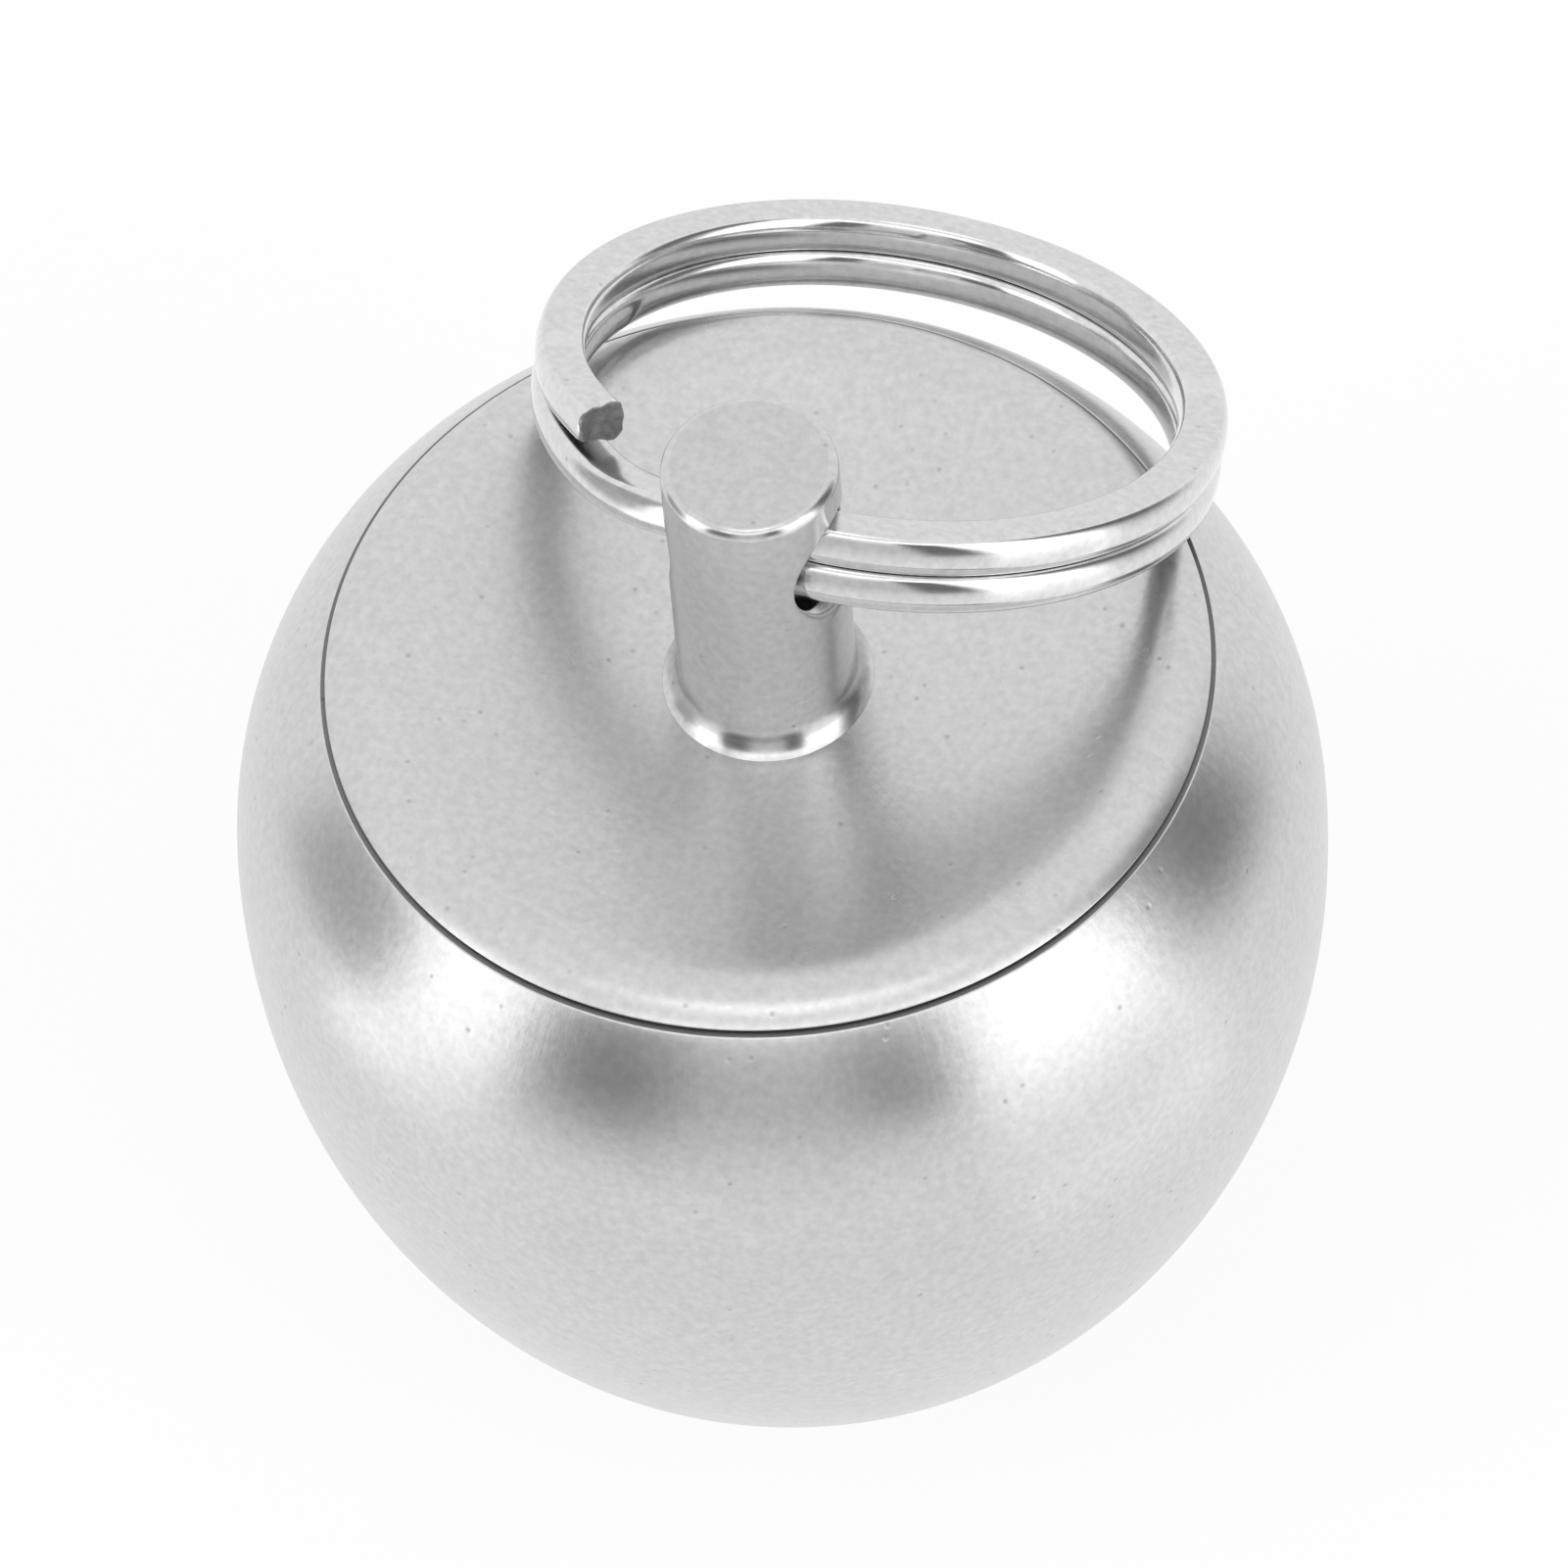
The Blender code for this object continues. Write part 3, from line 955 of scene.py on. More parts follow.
@dataclass
class Lid:
    """The dished lid: rolled rim, seal groove and threaded plug."""

    shop: Workshop
    seam: Seam
    thread: Thread
    jar: Jar
    rim_roll: float = 0.0020
    dish_depth: float = 0.001385
    web_thickness: float = 0.0022
    plug_length: float = 0.0058
    plug_root: float = 0.00960
    plug_round: float = 0.00025
    neck: float = 0.0003
    land_radius: float = 0.0102
    groove_floor_radius: float = 0.0087
    groove_round: float = 0.00015
    hollow_radius: float = 0.0076
    hollow_round: float = 0.0005
    mouth_round: float = 0.0002
    corner_round: float = 0.0001
    stem_clearance: float = 0.000004
    spigot_radius: float = 0.0015
    spigot_clearance: float = 0.0001
    seat_depth: float = 0.0008
    ease_start: float = 0.0012
    ease_reach: float = 0.00045
    step: float = 0.00012
    facets: int = 256
    flat_cosine: float = 0.9

    def __post_init__(self) -> None:
        """Work the rim's roll, the dish and the thread out from the seam."""
        edge_rise = self.seam.seat - self.jar.belly_height
        self.edge = self.jar.shoulder_radius(edge_rise)
        bend = self.jar.shoulder_power - 1
        out = (self.edge / self.jar.belly_radius) ** bend / self.jar.belly_radius
        up = (edge_rise / self.jar.shoulder_reach) ** bend / self.jar.shoulder_reach
        self.slope = math.atan2(out, up)
        self.roll_centre = (
            self.edge - self.rim_roll * math.sin(self.slope),
            self.seam.seat - self.rim_roll * math.cos(self.slope),
        )
        self.floor = self.roll_centre[1] + self.rim_roll - self.dish_depth
        rise = self.floor - self.roll_centre[1]
        chord = self.roll_centre[0] ** 2 + rise**2 - self.rim_roll**2
        self.dish_radius = chord / (2 * (self.rim_roll - rise))
        self.plug_end = self.seam.plug_start - self.plug_length
        self.thread_low = self.plug_end + self.neck
        self.thread_high = self.seam.groove_bottom - self.neck

    def dish_height(self, radius: float) -> float:
        """Height of the dish at a radius."""
        return self.floor + self.dish_radius - math.sqrt(self.dish_radius**2 - radius**2)

    def top(self, stem_radius: float) -> list[Point]:
        """Draw the outline from just over the seam, over the rim and across the dish to the stem.

        Args:
            stem_radius: Radius of the stem's foot.

        Returns:
            The outline's points, in order.
        """
        lean = math.asin(self.roll_centre[0] / (self.dish_radius + self.rim_roll))
        start = math.pi / 2 - self.slope
        steps = round((math.pi / 2 + lean - start) * self.rim_roll / self.step)
        points = arc(self.roll_centre, self.rim_roll, start, math.pi / 2 + lean, steps)
        end = stem_radius + self.stem_clearance
        radii = np.linspace(points[-1][0], end, round((points[-1][0] - end) / self.step) + 1)[1:]
        return self.ease(points + [(r, self.dish_height(r)) for r in radii])

    def ease(self, points: list[Point]) -> list[Point]:
        """Let the rim's roll run gently into the dish, as polishing leaves it.

        Args:
            points: The outline, in equal steps from the seam.

        Returns:
            The outline with its change of curve spread, and its ends where they were.
        """
        run = np.array(points)
        share = np.arange(len(run)) * self.step / self.ease_start
        pull = np.clip(share, 0, 1)[1:-1, None] / 2
        for _ in range(round(2 * (self.ease_reach / self.step) ** 2)):
            run[1:-1] += pull * ((run[:-2] + run[2:]) / 2 - run[1:-1])
        return [tuple(point) for point in run]

    def underside(self, top: list[Point]) -> list[Point]:
        """Draw the outline from the stem's seat through the hollow and round the plug to the seam.

        Args:
            top: The outline of the top, which this one closes.

        Returns:
            The outline's points, in order.
        """
        seam = self.seam
        seat = self.floor - self.seat_depth
        hole = self.spigot_radius + self.spigot_clearance
        roof = self.floor - self.web_thickness
        under = rounded([
            (*top[-1], 0),
            (top[-1][0], seat, 0),
            (hole, seat, self.corner_round),
            (hole, roof, self.mouth_round),
            (self.hollow_radius, roof, self.hollow_round),
            (self.hollow_radius, self.plug_end, self.mouth_round),
            (self.plug_root, self.plug_end, self.plug_round),
            (self.plug_root, self.thread_low, 0),
        ])[1:-1]
        wall = self.thread.rows(self.plug_root, self.thread_low, self.thread_high)
        land = rounded([
            (self.plug_root, self.thread_high, 0),
            (self.plug_root, seam.groove_bottom, self.corner_round),
            (self.groove_floor_radius, seam.groove_bottom, self.groove_round),
            (self.groove_floor_radius, seam.groove_top, self.groove_round),
            (self.land_radius, seam.groove_top, self.corner_round),
            (self.land_radius, seam.seat, self.corner_round),
            (self.edge - seam.shade_width, seam.seat, 0),
            (*top[0], seam.edge_break / 2),
            (*top[1], 0),
        ])[1:-1]
        return under + wall + land

    def build(self, stem_radius: float) -> bpy.types.Object:
        """Make the lid.

        Args:
            stem_radius: Radius of the stem's foot, which stands in the lid's seat.

        Returns:
            The piece, riding on its body.
        """
        top = self.top(stem_radius)
        bm = spin_outline(top[1:] + self.underside(top), self.facets, closed=True)
        self.thread.cut(bm, self.plug_root, self.thread_high, self.thread_low)
        lid = make_piece("dished_lid", bm, self.shop.turned_parts, self.choose_finish)
        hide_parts("lid")
        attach(lid, "lid")
        return lid

    def choose_finish(self, face: bmesh.types.BMFace) -> TurnedFace:
        """Pick a face's finish by where it lies.

        Args:
            face: The face.

        Returns:
            Satin on top, faced underneath, turned on the plug and painted dark on the seam's outer
            strip, as painted shade of the gap.
        """
        middle = face.calc_center_median()
        radius = distance_from_axis(middle)
        # The outer strip of the level face at the seam takes the painted shade of the gap.
        if face.normal.z < -LEVEL_COSINE and radius > self.edge - self.seam.shade_width:
            return TurnedFace.SEAM_SHADE
        if middle.z > self.floor - self.seat_depth / 4 and radius > self.land_radius:
            return TurnedFace.SATIN
        if face.normal.z > 0 and middle.z > self.floor - MARGIN:
            return TurnedFace.SATIN
        return TurnedFace.FACED if abs(face.normal.z) > self.flat_cosine else TurnedFace.BORE


@dataclass
class Stem:
    """The drilled stem that stands in the dish."""

    shop: Workshop
    lid: Lid
    height: float = 0.00986
    shaft_radius: float = 0.002555
    head_radius: float = 0.00245
    foot_radius: float = 0.003015
    fillet_height: float = 0.0009
    fillet_power: float = 3.1
    edge_round: float = 0.00032
    seat_depth: float = 0.0005
    seat_round: float = 0.0001
    spigot_round: float = 0.0003
    hole_drop: float = 0.00317
    hole_radius: float = 0.001567
    hole_lip: float = 0.0005
    lip_side_share: float = 0.2
    lip_turn: float = math.radians(76.0)
    overrun: float = 0.001
    facets: int = 192
    rows: int = 64
    fillet_rows: int = 16
    face_steps: int = 11
    edge_steps: int = 10
    lip_steps: int = 8
    hole_facets: int = 96
    flat_cosine: float = 0.98

    @property
    def foot_line(self) -> float:
        """Height of the crisp line where the foot meets the dish."""
        return self.lid.dish_height(self.foot_radius)

    @property
    def top(self) -> float:
        """Height of the flat top."""
        return self.lid.floor + self.height

    @property
    def hole_level(self) -> float:
        """Height of the cross hole's axis."""
        return self.top - self.hole_drop

    def radius(self, level: float) -> float:
        """Give the radius at a height: a tapered shaft on a hollow fillet.

        Args:
            level: The height, counted as all heights of the part are.

        Returns:
            The radius there.
        """
        rise = max(level - self.foot_line, 0.0)
        fillet = max(0.0, 1 - rise / self.fillet_height) ** self.fillet_power
        taper = (self.head_radius - self.shaft_radius) * rise / self.height
        return self.shaft_radius + taper + (self.foot_radius - self.shaft_radius) * fillet

    def lip(self, lean: float) -> float:
        """Rounding of the hole's lip: widest above and below, where the ring has worn it.

        Args:
            lean: How far the direction from the hole's axis points up or down, from -1 to 1.

        Returns:
            The rounding's radius.
        """
        return self.hole_lip * (self.lip_side_share + (1 - self.lip_side_share) * lean**2)

    def outline(self) -> list[Point]:
        """Draw the outline from the middle of the top down to the end of the spigot.

        Returns:
            The outline's points, in order.
        """
        head = (self.radius(self.top) - self.edge_round, self.top - self.edge_round)
        seat = self.lid.floor - self.seat_depth
        roof = self.lid.floor - self.lid.web_thickness
        fillet_top = self.foot_line + self.fillet_height
        shaft = np.linspace(head[1], fillet_top, self.rows)[1:]
        fillet = np.linspace(fillet_top, self.foot_line, self.fillet_rows + 1)[1:]
        under = rounded([
            (self.foot_radius, self.foot_line, 0),
            (self.foot_radius, seat, 0),
            (self.lid.spigot_radius, seat, self.seat_round),
            (self.lid.spigot_radius, roof, self.spigot_round),
            (0, roof, 0),
        ])[1:]
        return [
            *level_line(head[0], self.top, self.face_steps)[:-1],
            *arc(head, self.edge_round, math.pi / 2, 0, self.edge_steps),
            *[(self.radius(level), level) for level in (*shaft, *fillet)],
            *under,
        ]

    def build(self) -> bpy.types.Object:
        """Make the stem.

        Returns:
            The piece, riding on the lid's body.
        """
        bm = spin_outline(self.outline(), self.facets, closed=False)
        stem = make_piece("drilled_stem", bm, self.shop.stem)
        self.drill(stem)
        self.dress(stem)
        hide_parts("stem")
        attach(stem, "lid")
        return stem

    def stations(self) -> list[Triple]:
        """Steps of the hole's mouth, from its wall round the lip and out of the stem.

        Returns:
            How far each step is widened and set in, in shares of the lip, and how far it stands
            out.
        """
        turns = np.linspace(0, self.lip_turn, self.lip_steps + 1)
        steps = [(1 - math.cos(a), math.sin(a) - 1, 0.0) for a in turns]
        past = 2 * (1 - math.sin(self.lip_turn)) / math.cos(self.lip_turn)
        wide = steps[-1][0] + past * math.sin(self.lip_turn)
        inset = steps[-1][1] + past * math.cos(self.lip_turn)
        return [*steps, (wide, inset, 0.0), (wide, inset, self.overrun)]

    def drill(self, stem: bpy.types.Object) -> None:
        """Cut the cross hole with its rounded mouths.

        Args:
            stem: The plain stem, whose mesh is replaced.
        """
        bm = bmesh.new()
        ring = bmesh.ops.create_circle(
            bm, cap_ends=False, segments=self.hole_facets, radius=self.hole_radius,
            matrix=Matrix.Rotation(math.pi / 2, 4, "Y"),
        )["verts"]
        edges = list(bm.edges)
        stations = self.stations()
        loops = [(ring, 0, stations[0])]
        for side in (1, -1):
            current = edges
            for station in stations:
                grown = bmesh.ops.extrude_edge_only(bm, edges=current)["geom"]
                verts = [part for part in grown if isinstance(part, bmesh.types.BMVert)]
                loops.append((verts, side, station))
                current = [part for part in grown if isinstance(part, bmesh.types.BMEdge)]
            bmesh.ops.edgeloop_fill(bm, edges=current)
        for verts, side, station in loops:
            for vert in verts:
                self.shape_cutter(vert, side, station)
        bmesh.ops.recalc_face_normals(bm, faces=bm.faces)
        cutter = make_piece("hole_cutter", bm, [self.shop.stem[StemFace.HOLE]])
        cut = stem.modifiers.new("cross hole", "BOOLEAN")
        cut.operation = "DIFFERENCE"
        cut.solver = "EXACT"
        cut.object = cutter
        shaped = stem.evaluated_get(bpy.context.evaluated_depsgraph_get())
        drilled = bpy.data.meshes.new_from_object(shaped)
        stem.modifiers.clear()
        plain = stem.data
        stem.data = drilled
        bpy.data.meshes.remove(plain)
        bpy.data.objects.remove(cutter, do_unlink=True)

    def shape_cutter(self, vert: bmesh.types.BMVert, side: int, station: Triple) -> None:
        """Move a vertex of the cutter, which is still on a plain circle, to its place.

        Args:
            vert: The vertex, whose direction from the hole's axis stays.
            side: 1 or -1, the side of the stem, or 0 for the middle of the bar.
            station: How far the step is widened, set in and stands out.
        """
        widen, inset, beyond = station
        way = Vector((0, vert.co.y, vert.co.z)).normalized()
        lip = self.lip(way.z)
        reach = self.hole_radius + lip * widen
        level = self.hole_level + reach * way.z
        y = reach * way.y
        surface = math.sqrt(max(self.radius(level) ** 2 - y**2, 0))
        vert.co = Vector((side * (surface + lip * inset + beyond), y, level))

    def dress(self, stem: bpy.types.Object) -> None:
        """Give the top face and the hole their own finishes.

        Args:
            stem: The drilled stem.
        """
        for face in stem.data.polygons:
            middle = face.center
            out = Vector((0, middle.y, middle.z - self.hole_level))
            mouth = self.hole_radius + self.lip(out.normalized().z)
            face.material_index = StemFace.SHAFT
            if face.normal.z > self.flat_cosine and middle.z > self.top - MARGIN:
                face.material_index = StemFace.TOP
            elif out.length < mouth and face.normal.dot(out) < 0:
                face.material_index = StemFace.HOLE


@dataclass
class SealRing:
    """The rubber ring in the plug's groove, with the fine flash line of its mould."""

    shop: Workshop
    seam: Seam
    section: float = 0.0006
    centre_radius: float = 0.0096
    flash: float = 0.00003
    flash_cosine: float = 0.97
    facets: int = 160
    section_steps: int = 32

    def build(self) -> bpy.types.Object:
        """Make the seal ring.

        Returns:
            The piece, riding on its own body.
        """
        level = (self.seam.groove_top + self.seam.groove_bottom) / 2
        points = []
        for turn in np.linspace(0, math.tau, self.section_steps + 1)[:-1]:
            past = max(0.0, abs(math.cos(turn)) - self.flash_cosine)
            reach = self.section - self.flash + self.flash * past / (1 - self.flash_cosine)
            place = (self.centre_radius + reach * math.cos(turn), level + reach * math.sin(turn))
            points.append(place)
        bm = spin_outline(points, self.facets, closed=True)
        ring = make_piece("seal_band", bm, self.shop.seal)
        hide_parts("seal_ring")
        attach(ring, "seal_ring")
        return ring


@dataclass
class SplitRing:
    """The split ring: one flat-sided wire wound just under two turns through the stem."""

    shop: Workshop
    stem: Stem
    pivot_level: float
    lean: float = math.radians(24.207169)
    outer_radius: float = 0.0100
    wire_width: float = 0.00144
    stack: float = 0.00236
    turn_gap: float = 0.00003
    bulge: float = 0.00024
    top_end: float = math.radians(323.0)
    low_end: float = math.radians(-351.0)
    crossing_start: float = math.radians(11.0)
    crossing_end: float = math.radians(-35.0)
    end_spread: float = 0.00026
    end_spread_run: float = math.radians(24.0)
    cut_roughness: float = 0.00012
    cut_grain: float = 0.0006
    cut_layers: int = 3
    cut_seed: int = 8
    cut_inset: float = 0.00006
    cut_crown: float = 0.00004
    cut_rings: int = 4
    step_angle: float = math.radians(1.5)
    section_steps: int = 14
    flat_steps: int = 4
    flat_cosine: float = 0.96

    def __post_init__(self) -> None:
        """Work out the wire's run."""
        self.wire_height = (self.stack - self.turn_gap) / 2
        self.layer = (self.wire_height + self.turn_gap) / 2
        self.run_radius = self.outer_radius - self.wire_width / 2
        shaft = self.stem.radius(self.pivot_level)
        bow = self.run_radius - math.sqrt(self.run_radius**2 - shaft**2)
        self.reach = self.run_radius - bow / 2

    def offset(self, turn: float) -> float:
        """Give the height of the wire's middle over the ring's mid-plane.

        Args:
            turn: The angle along the wire.

        Returns:
            The height.
        """
        run = self.crossing_start - self.crossing_end
        crossing = smooth_step((self.crossing_start - turn) / run)
        spread = smooth_step(1 - (self.top_end - turn) / self.end_spread_run)
        return self.layer * (1 - 2 * crossing) + self.end_spread * spread

    def section(self) -> list[Point]:
        """Draw the wire's section: half-round sides joined by two flats.

        Returns:
            The section's points, in order.
        """
        flat = self.wire_width / 2 - self.bulge
        half = self.wire_height / 2
        turns = np.linspace(-math.pi / 2, math.pi / 2, self.section_steps + 1)
        side = [(flat + self.bulge * math.cos(a), half * math.sin(a)) for a in turns]
        face = [(x, half) for x in np.linspace(flat, -flat, self.flat_steps + 1)[1:-1]]
        return side + face + [(-x, -z) for x, z in side + face]

    def build(self) -> bpy.types.Object:
        """Make the split ring.

        Returns:
            The piece, riding on its own body.
        """
        bm = bmesh.new()
        section = self.section()
        verts = [bm.verts.new((0, -self.run_radius - x, z)) for x, z in section]
        edges = [bm.edges.new((verts[i - 1], vert)) for i, vert in enumerate(verts)]
        steps = round((self.top_end - self.low_end) / self.step_angle)
        bmesh.ops.spin(
            bm, geom=verts + edges, cent=CENTRE, axis=Z_AXIS, angle=self.low_end - self.top_end,
            steps=steps, use_merge=False, use_duplicate=False,
        )
        turns = [float(turn) for turn in np.linspace(self.top_end, self.low_end, steps + 1)]
        tilt_back = Matrix.Rotation(self.top_end, 4, "Z")
        for i, vert in enumerate(bm.verts):
            self.lay(vert, tilt_back @ vert.co, turns[i // len(section)])
        bm.verts.ensure_lookup_table()
        self.cut_ends(bm, (bm.verts[: len(section)], bm.verts[-len(section):]))
        bmesh.ops.recalc_face_normals(bm, faces=bm.faces)
        self.roughen(bm)
        pose = Matrix.Translation((0, 0, self.pivot_level)) @ Matrix.Rotation(-self.lean, 4, "X")
        bmesh.ops.transform(bm, matrix=pose, verts=bm.verts)
        ring = make_piece("wound_split_ring", bm, self.shop.wire, self.choose_finish)
        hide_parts("split_ring")
        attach(ring, "split_ring")
        return ring

    def lay(self, vert: bmesh.types.BMVert, place: Vector, turn: float) -> None:
        """Raise a vertex of the flat coil to its turn's height, and tilt it with the wire.

        Args:
            vert: The vertex.
            place: Its place in the flat coil.
            turn: The angle along the wire.
        """
        nudge = self.step_angle / 10
        climb = self.offset(turn + nudge) - self.offset(turn - nudge)
        slope = climb / (2 * nudge * self.run_radius)
        along = Vector((math.cos(turn), math.sin(turn), 0))
        lift = Vector((0, self.reach, self.offset(turn)))
        vert.co = place - along * vert.co.z * slope + lift

    def cut_ends(
        self, bm: bmesh.types.BMesh, loops: Iterable[Sequence[bmesh.types.BMVert]]
    ) -> None:
        """Close the ends of the wire with the faces of its cuts, in small facets.

        Args:
            bm: The wire's mesh.
            loops: The vertices round each open end, in order.
        """
        faces = [bm.faces.new(loop) for loop in loops]
        for face in faces:
            face.material_index = WireFace.CUT
        bmesh.ops.recalc_face_normals(bm, faces=bm.faces)
        bmesh.ops.inset_individual(
            bm, faces=faces, thickness=self.cut_inset, depth=self.cut_crown
        )
        centres = bmesh.ops.poke(bm, faces=faces)["verts"]
        spokes = [edge for centre in centres for edge in centre.link_edges]
        bmesh.ops.subdivide_edges(bm, edges=spokes, cuts=self.cut_rings, use_grid_fill=True)

    def roughen(self, bm: bmesh.types.BMesh) -> None:
        """Make the faces and edges of both cuts uneven, as nippers leave them.

        Args:
            bm: The wire's mesh.
        """
        noise.seed_set(self.cut_seed)
        for vert in bm.verts:
            if any(face.material_index == WireFace.CUT for face in vert.link_faces):
                push = noise.turbulence_vector(vert.co / self.cut_grain, self.cut_layers, False)
                vert.co += push * self.cut_roughness

    def choose_finish(self, face: bmesh.types.BMFace) -> WireFace:
        """Pick a face's finish by the way it faces.

        Args:
            face: The face.

        Returns:
            Polished on the round sides, duller on the flats and rough on the cut ends.
        """
        if face.material_index == WireFace.CUT:
            return WireFace.CUT
        axis = Vector((0, math.sin(self.lean), math.cos(self.lean)))
        flat = abs(face.normal.dot(axis)) > self.flat_cosine
        return WireFace.FLAT if flat else WireFace.SIDE


# The studio


def direction(turn: float, rise: float) -> Vector:
    """The way to a place at an angle round the object from -Y and an angle above the floor."""
    level = math.cos(rise)
    return Vector((math.sin(turn) * level, -math.cos(turn) * level, math.sin(rise)))


@dataclass(frozen=True)
class Card:
    """A soft-edged panel of the studio, light or dark, that the steel reflects."""

    azimuth: float
    half_width: float
    low: float
    high: float
    level: float
    softness: float


@dataclass(frozen=True)
class Lamp:
    """A soft lamp, where one of the bright panels is."""

    name: str
    azimuth: float
    elevation: float = 30.0
    distance: float = 0.6
    width: float = 0.35
    height: float = 0.5
    energy: float = 1.2

    def hang(self, front: float) -> None:
        """Add the lamp.

        Args:
            front: The azimuth of the camera's side, from which the lamp's own is counted.
        """
        data = bpy.data.lights.new(self.name, "AREA")
        data.shape = "RECTANGLE"
        data.size = self.width
        data.size_y = self.height
        data.energy = self.energy
        lamp = bpy.data.objects.new(self.name, data)
        back = direction(math.radians(front + self.azimuth), math.radians(self.elevation))
        aim = back.to_track_quat("Z", "Y").to_matrix().to_4x4()
        lamp.matrix_world = Matrix.Translation(back * self.distance) @ aim
        lamp.visible_glossy = False
        bpy.context.scene.collection.objects.link(lamp)


@dataclass
class Studio:
    """Floor, camera, lamps and what the steel sees all round."""

    azimuth: float = 28.0
    elevation: float = 54.872
    roll: float = -5.1716
    lens: float = 149.21
    sensor: float = 36.0
    place: Triple = (0.05125749, -0.09604797, 0.17526242)
    floor_size: float = 3.0
    floor_tone: float = 0.9
    floor_glow: float = 0.9
    eye_level: float = 0.018
    ambient: float = 0.75
    base_level: float = 1.05
    cards: tuple[Card, ...] = (
        Card(0.0, 45.0, -30.0, 35.0, 0.7, 8.0),
        Card(-40.0, 15.0, -10.0, 40.0, 0.2, 5.0),
        Card(25.0, 15.0, 0.0, 45.0, 0.2, 5.0),
        Card(-70.0, 15.0, -20.0, 45.0, 2.0, 5.0),
        Card(50.0, 20.0, -30.0, 50.0, 2.0, 5.0),
        Card(90.0, 15.0, -10.0, 50.0, 0.2, 10.0),
        Card(-95.0, 15.0, -10.0, 20.0, 0.5, 5.0),
        Card(0.0, 45.0, 45.0, 55.0, 2.0, 4.0),
        Card(-10.0, 90.0, 75.0, 95.0, 2.0, 5.0),
        Card(0.0, 75.0, -35.0, -5.0, 1.1, 20.0),
    )
    lamps: tuple[Lamp, ...] = (Lamp("left lamp", -72.0), Lamp("right lamp", 51.0))

    def build(self) -> None:
        """Set up everything round the object."""
        bpy.context.scene.view_settings.view_transform = "Standard"
        self.panel = self.make_panel()
        self.add_camera()
        self.add_floor()
        self.light_world()
        for lamp in self.lamps:
            lamp.hang(self.azimuth)

    def add_camera(self) -> None:
        """Put the camera where the photograph was taken from."""
        data = bpy.data.cameras.new("camera")
        data.lens = self.lens
        data.sensor_width = self.sensor
        camera = bpy.data.objects.new("camera", data)
        turn, rise, roll = (math.radians(a) for a in (self.azimuth, self.elevation, self.roll))
        right = Vector((math.cos(turn), math.sin(turn), 0))
        back = direction(turn, rise)
        up = back.cross(right)
        across = right * math.cos(roll) + up * math.sin(roll)
        upright = up * math.cos(roll) - right * math.sin(roll)
        axes = Matrix((across, upright, back)).transposed().to_4x4()
        camera.matrix_world = Matrix.Translation(self.place) @ axes
        bpy.context.scene.collection.objects.link(camera)
        bpy.context.scene.camera = camera

    def add_floor(self) -> None:
        """Lay a floor that is white to the camera and keeps a faint shadow; in reflections it glows
        with the studio's panels as painted light and shade.
        """
        bm = bmesh.new()
        bmesh.ops.create_grid(bm, x_segments=1, y_segments=1, size=self.floor_size / 2)
        material = bpy.data.materials.new("white floor")
        material.use_nodes = True
        graph = Graph(material.node_tree)
        graph.tree.nodes.clear()
        place = graph.place()
        # Painted light and shade: the floor's glow in reflections takes the studio's bright and
        # dark panels, by direction round the object and angle under the eye.
        drop = graph.math("ARCTAN2", self.eye_level, graph.vector("LENGTH", {0: place})["Value"])
        level = self.panels(graph, place, graph.math("MULTIPLY", drop, -1.0))
        camera, mirrored = self.rays(graph)
        painted_glow = graph.add(
            "ShaderNodeEmission", {"Color": WHITE, "Strength": graph.mix(camera, level, 1.0)}
        )
        paint = graph.add("ShaderNodeBsdfDiffuse", {"Color": grey(self.floor_tone)})
        seen = graph.math("MAXIMUM", camera, mirrored)
        share = graph.math("MULTIPLY", seen, self.floor_glow)
        layers = {0: share, 1: paint.outputs[0], 2: painted_glow.outputs[0]}
        mixed = graph.add("ShaderNodeMixShader", layers)
        graph.add("ShaderNodeOutputMaterial", {"Surface": mixed.outputs[0]})
        floor = make_piece("floor", bm, [material])
        floor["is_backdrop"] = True

    @staticmethod
    def rays(graph: Graph) -> tuple[bpy.types.NodeSocket, bpy.types.NodeSocket]:
        """Tell how a surface is seen.

        Args:
            graph: The graph to add to.

        Returns:
            1 where the camera sees it, and 1 where a reflection or a ray through glass does.
        """
        path = graph.add("ShaderNodeLightPath").outputs
        mirrored = graph.math("MAXIMUM", path["Is Glossy Ray"], path["Is Transmission Ray"])
        return path["Is Camera Ray"], mirrored

    def light_world(self) -> None:
        """White all round for the camera, and the studio's panels for the steel."""
        world = bpy.data.worlds.new("studio")
        bpy.context.scene.world = world
        world.use_nodes = True
        graph = Graph(world.node_tree)
        graph.tree.nodes.clear()
        way = graph.add("ShaderNodeTexCoord").outputs["Generated"]
        height = graph.add("ShaderNodeSeparateXYZ", {0: way}).outputs["Z"]
        level = self.panels(graph, way, graph.math("ARCSINE", height))
        camera, mirrored = self.rays(graph)
        strength = graph.mix(camera, graph.mix(mirrored, self.ambient, level), 1.0)
        sky = graph.add("ShaderNodeBackground", {"Color": WHITE, "Strength": strength})
        graph.add("ShaderNodeOutputWorld", {"Surface": sky.outputs[0]})

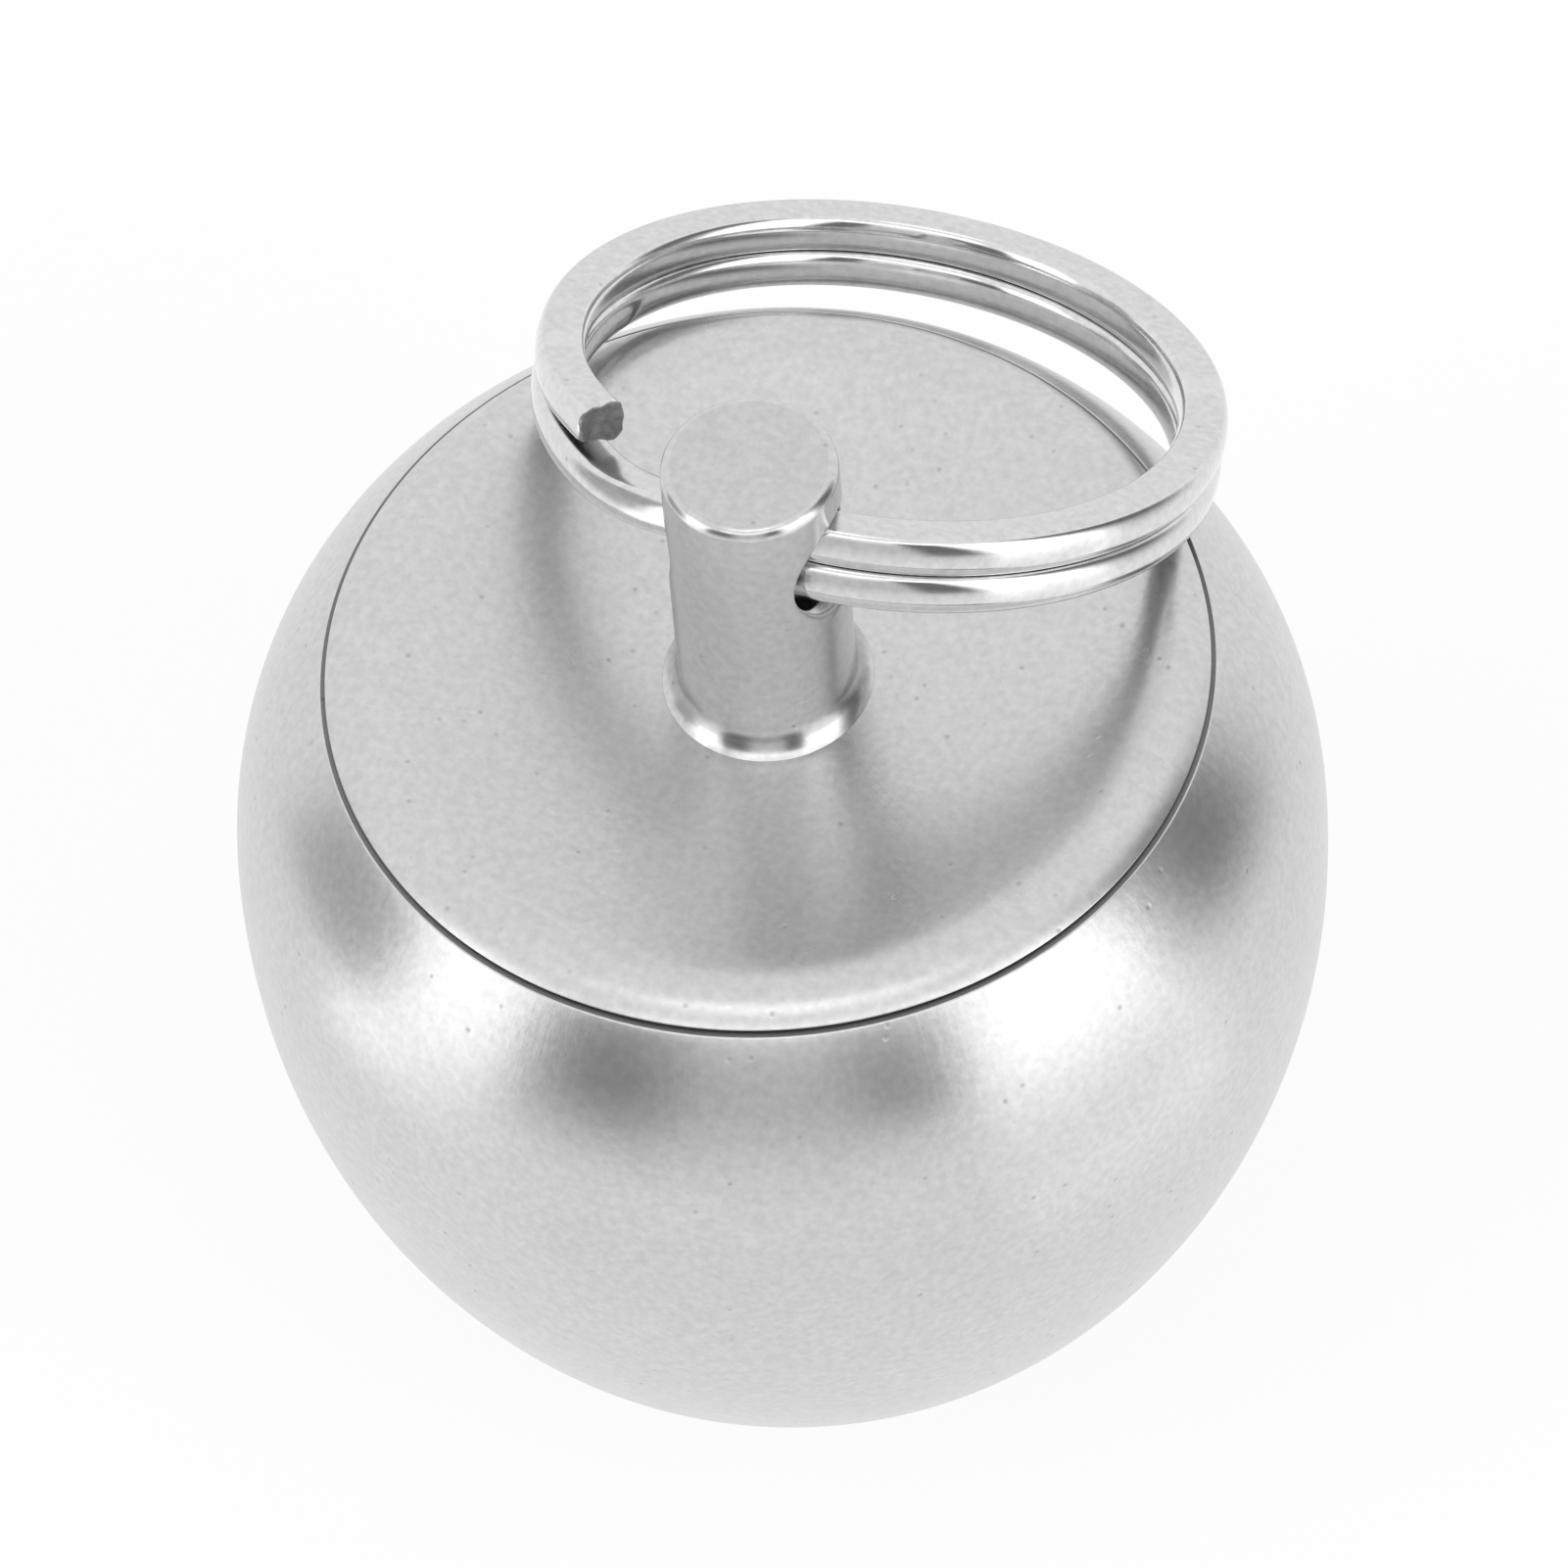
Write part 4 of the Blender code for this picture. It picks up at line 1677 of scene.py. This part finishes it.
    def panels(self, graph: Graph, way: Value, rise: Value) -> Value:
        """How bright the studio is in a direction.

        Args:
            graph: The graph to add to.
            way: A vector whose X and Y give the side it is seen on.
            rise: Its elevation.

        Returns:
            The level of light from there, where plain white is 1.
        """
        parts = graph.add("ShaderNodeSeparateXYZ", {0: way}).outputs
        forward = graph.math("MULTIPLY", parts["Y"], -1.0)
        turn = graph.math("ARCTAN2", parts["X"], forward)
        turn = graph.math("SUBTRACT", turn, math.radians(self.azimuth))
        turn = graph.math("WRAP", turn, math.pi, -math.pi)
        level: Value = self.base_level
        for card in self.cards:
            mask = graph.group(
                self.panel, Turn=turn, Rise=rise, Middle=math.radians(card.azimuth),
                Half_Width=math.radians(card.half_width), Low=math.radians(card.low),
                High=math.radians(card.high), Softness=math.radians(card.softness),
            )["Mask"]
            level = graph.mix(mask, level, card.level)
        return level

    @staticmethod
    def make_panel() -> bpy.types.NodeTree:
        """A group that gives a soft-edged mask over a range of turn and rise.

        Returns:
            The group.
        """
        inputs = ("Turn", "Rise", "Middle", "Half Width", "Low", "High", "Softness")
        graph, given, out = start_group("Studio Panel", inputs, ("Mask",))
        soft = given["Softness"]
        off = graph.math("ABSOLUTE", graph.math("SUBTRACT", given["Turn"], given["Middle"]))
        sides = graph.edge(off, given["Half Width"], soft, 1.0)
        foot = graph.edge(given["Rise"], given["Low"], soft, 0.0)
        head = graph.edge(given["Rise"], given["High"], soft, 1.0)
        upright = graph.math("MULTIPLY", foot, head)
        graph.feed(out, {"Mask": graph.math("MULTIPLY", upright, sides)})
        return graph.tree


def corners() -> list[list[float]]:
    """Lowest and highest corner of the shown object, as plain numbers."""
    return [list(corner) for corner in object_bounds()]


def main() -> None:
    """Build and dress the container, then the studio."""
    logging.basicConfig(level=logging.INFO, format="%(message)s")
    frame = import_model()
    swing = next(joint for joint in frame["joints"] if joint["name"] == "ring_swing")
    shop = Workshop()
    seam = Seam()
    thread = Thread()
    jar = Jar(shop, seam, thread)
    lid = Lid(shop, seam, thread, jar)
    stem = Stem(shop, lid)
    pieces = [
        jar.build(),
        lid.build(stem.foot_radius),
        stem.build(),
        SealRing(shop, seam).build(),
        SplitRing(shop, stem, swing["pos_m"][2]).build(),
    ]
    for piece in pieces:
        LOG.info("%s: %d faces", piece.name, len(piece.data.polygons))
    Studio().build()


if __name__ == "__main__":
    main()
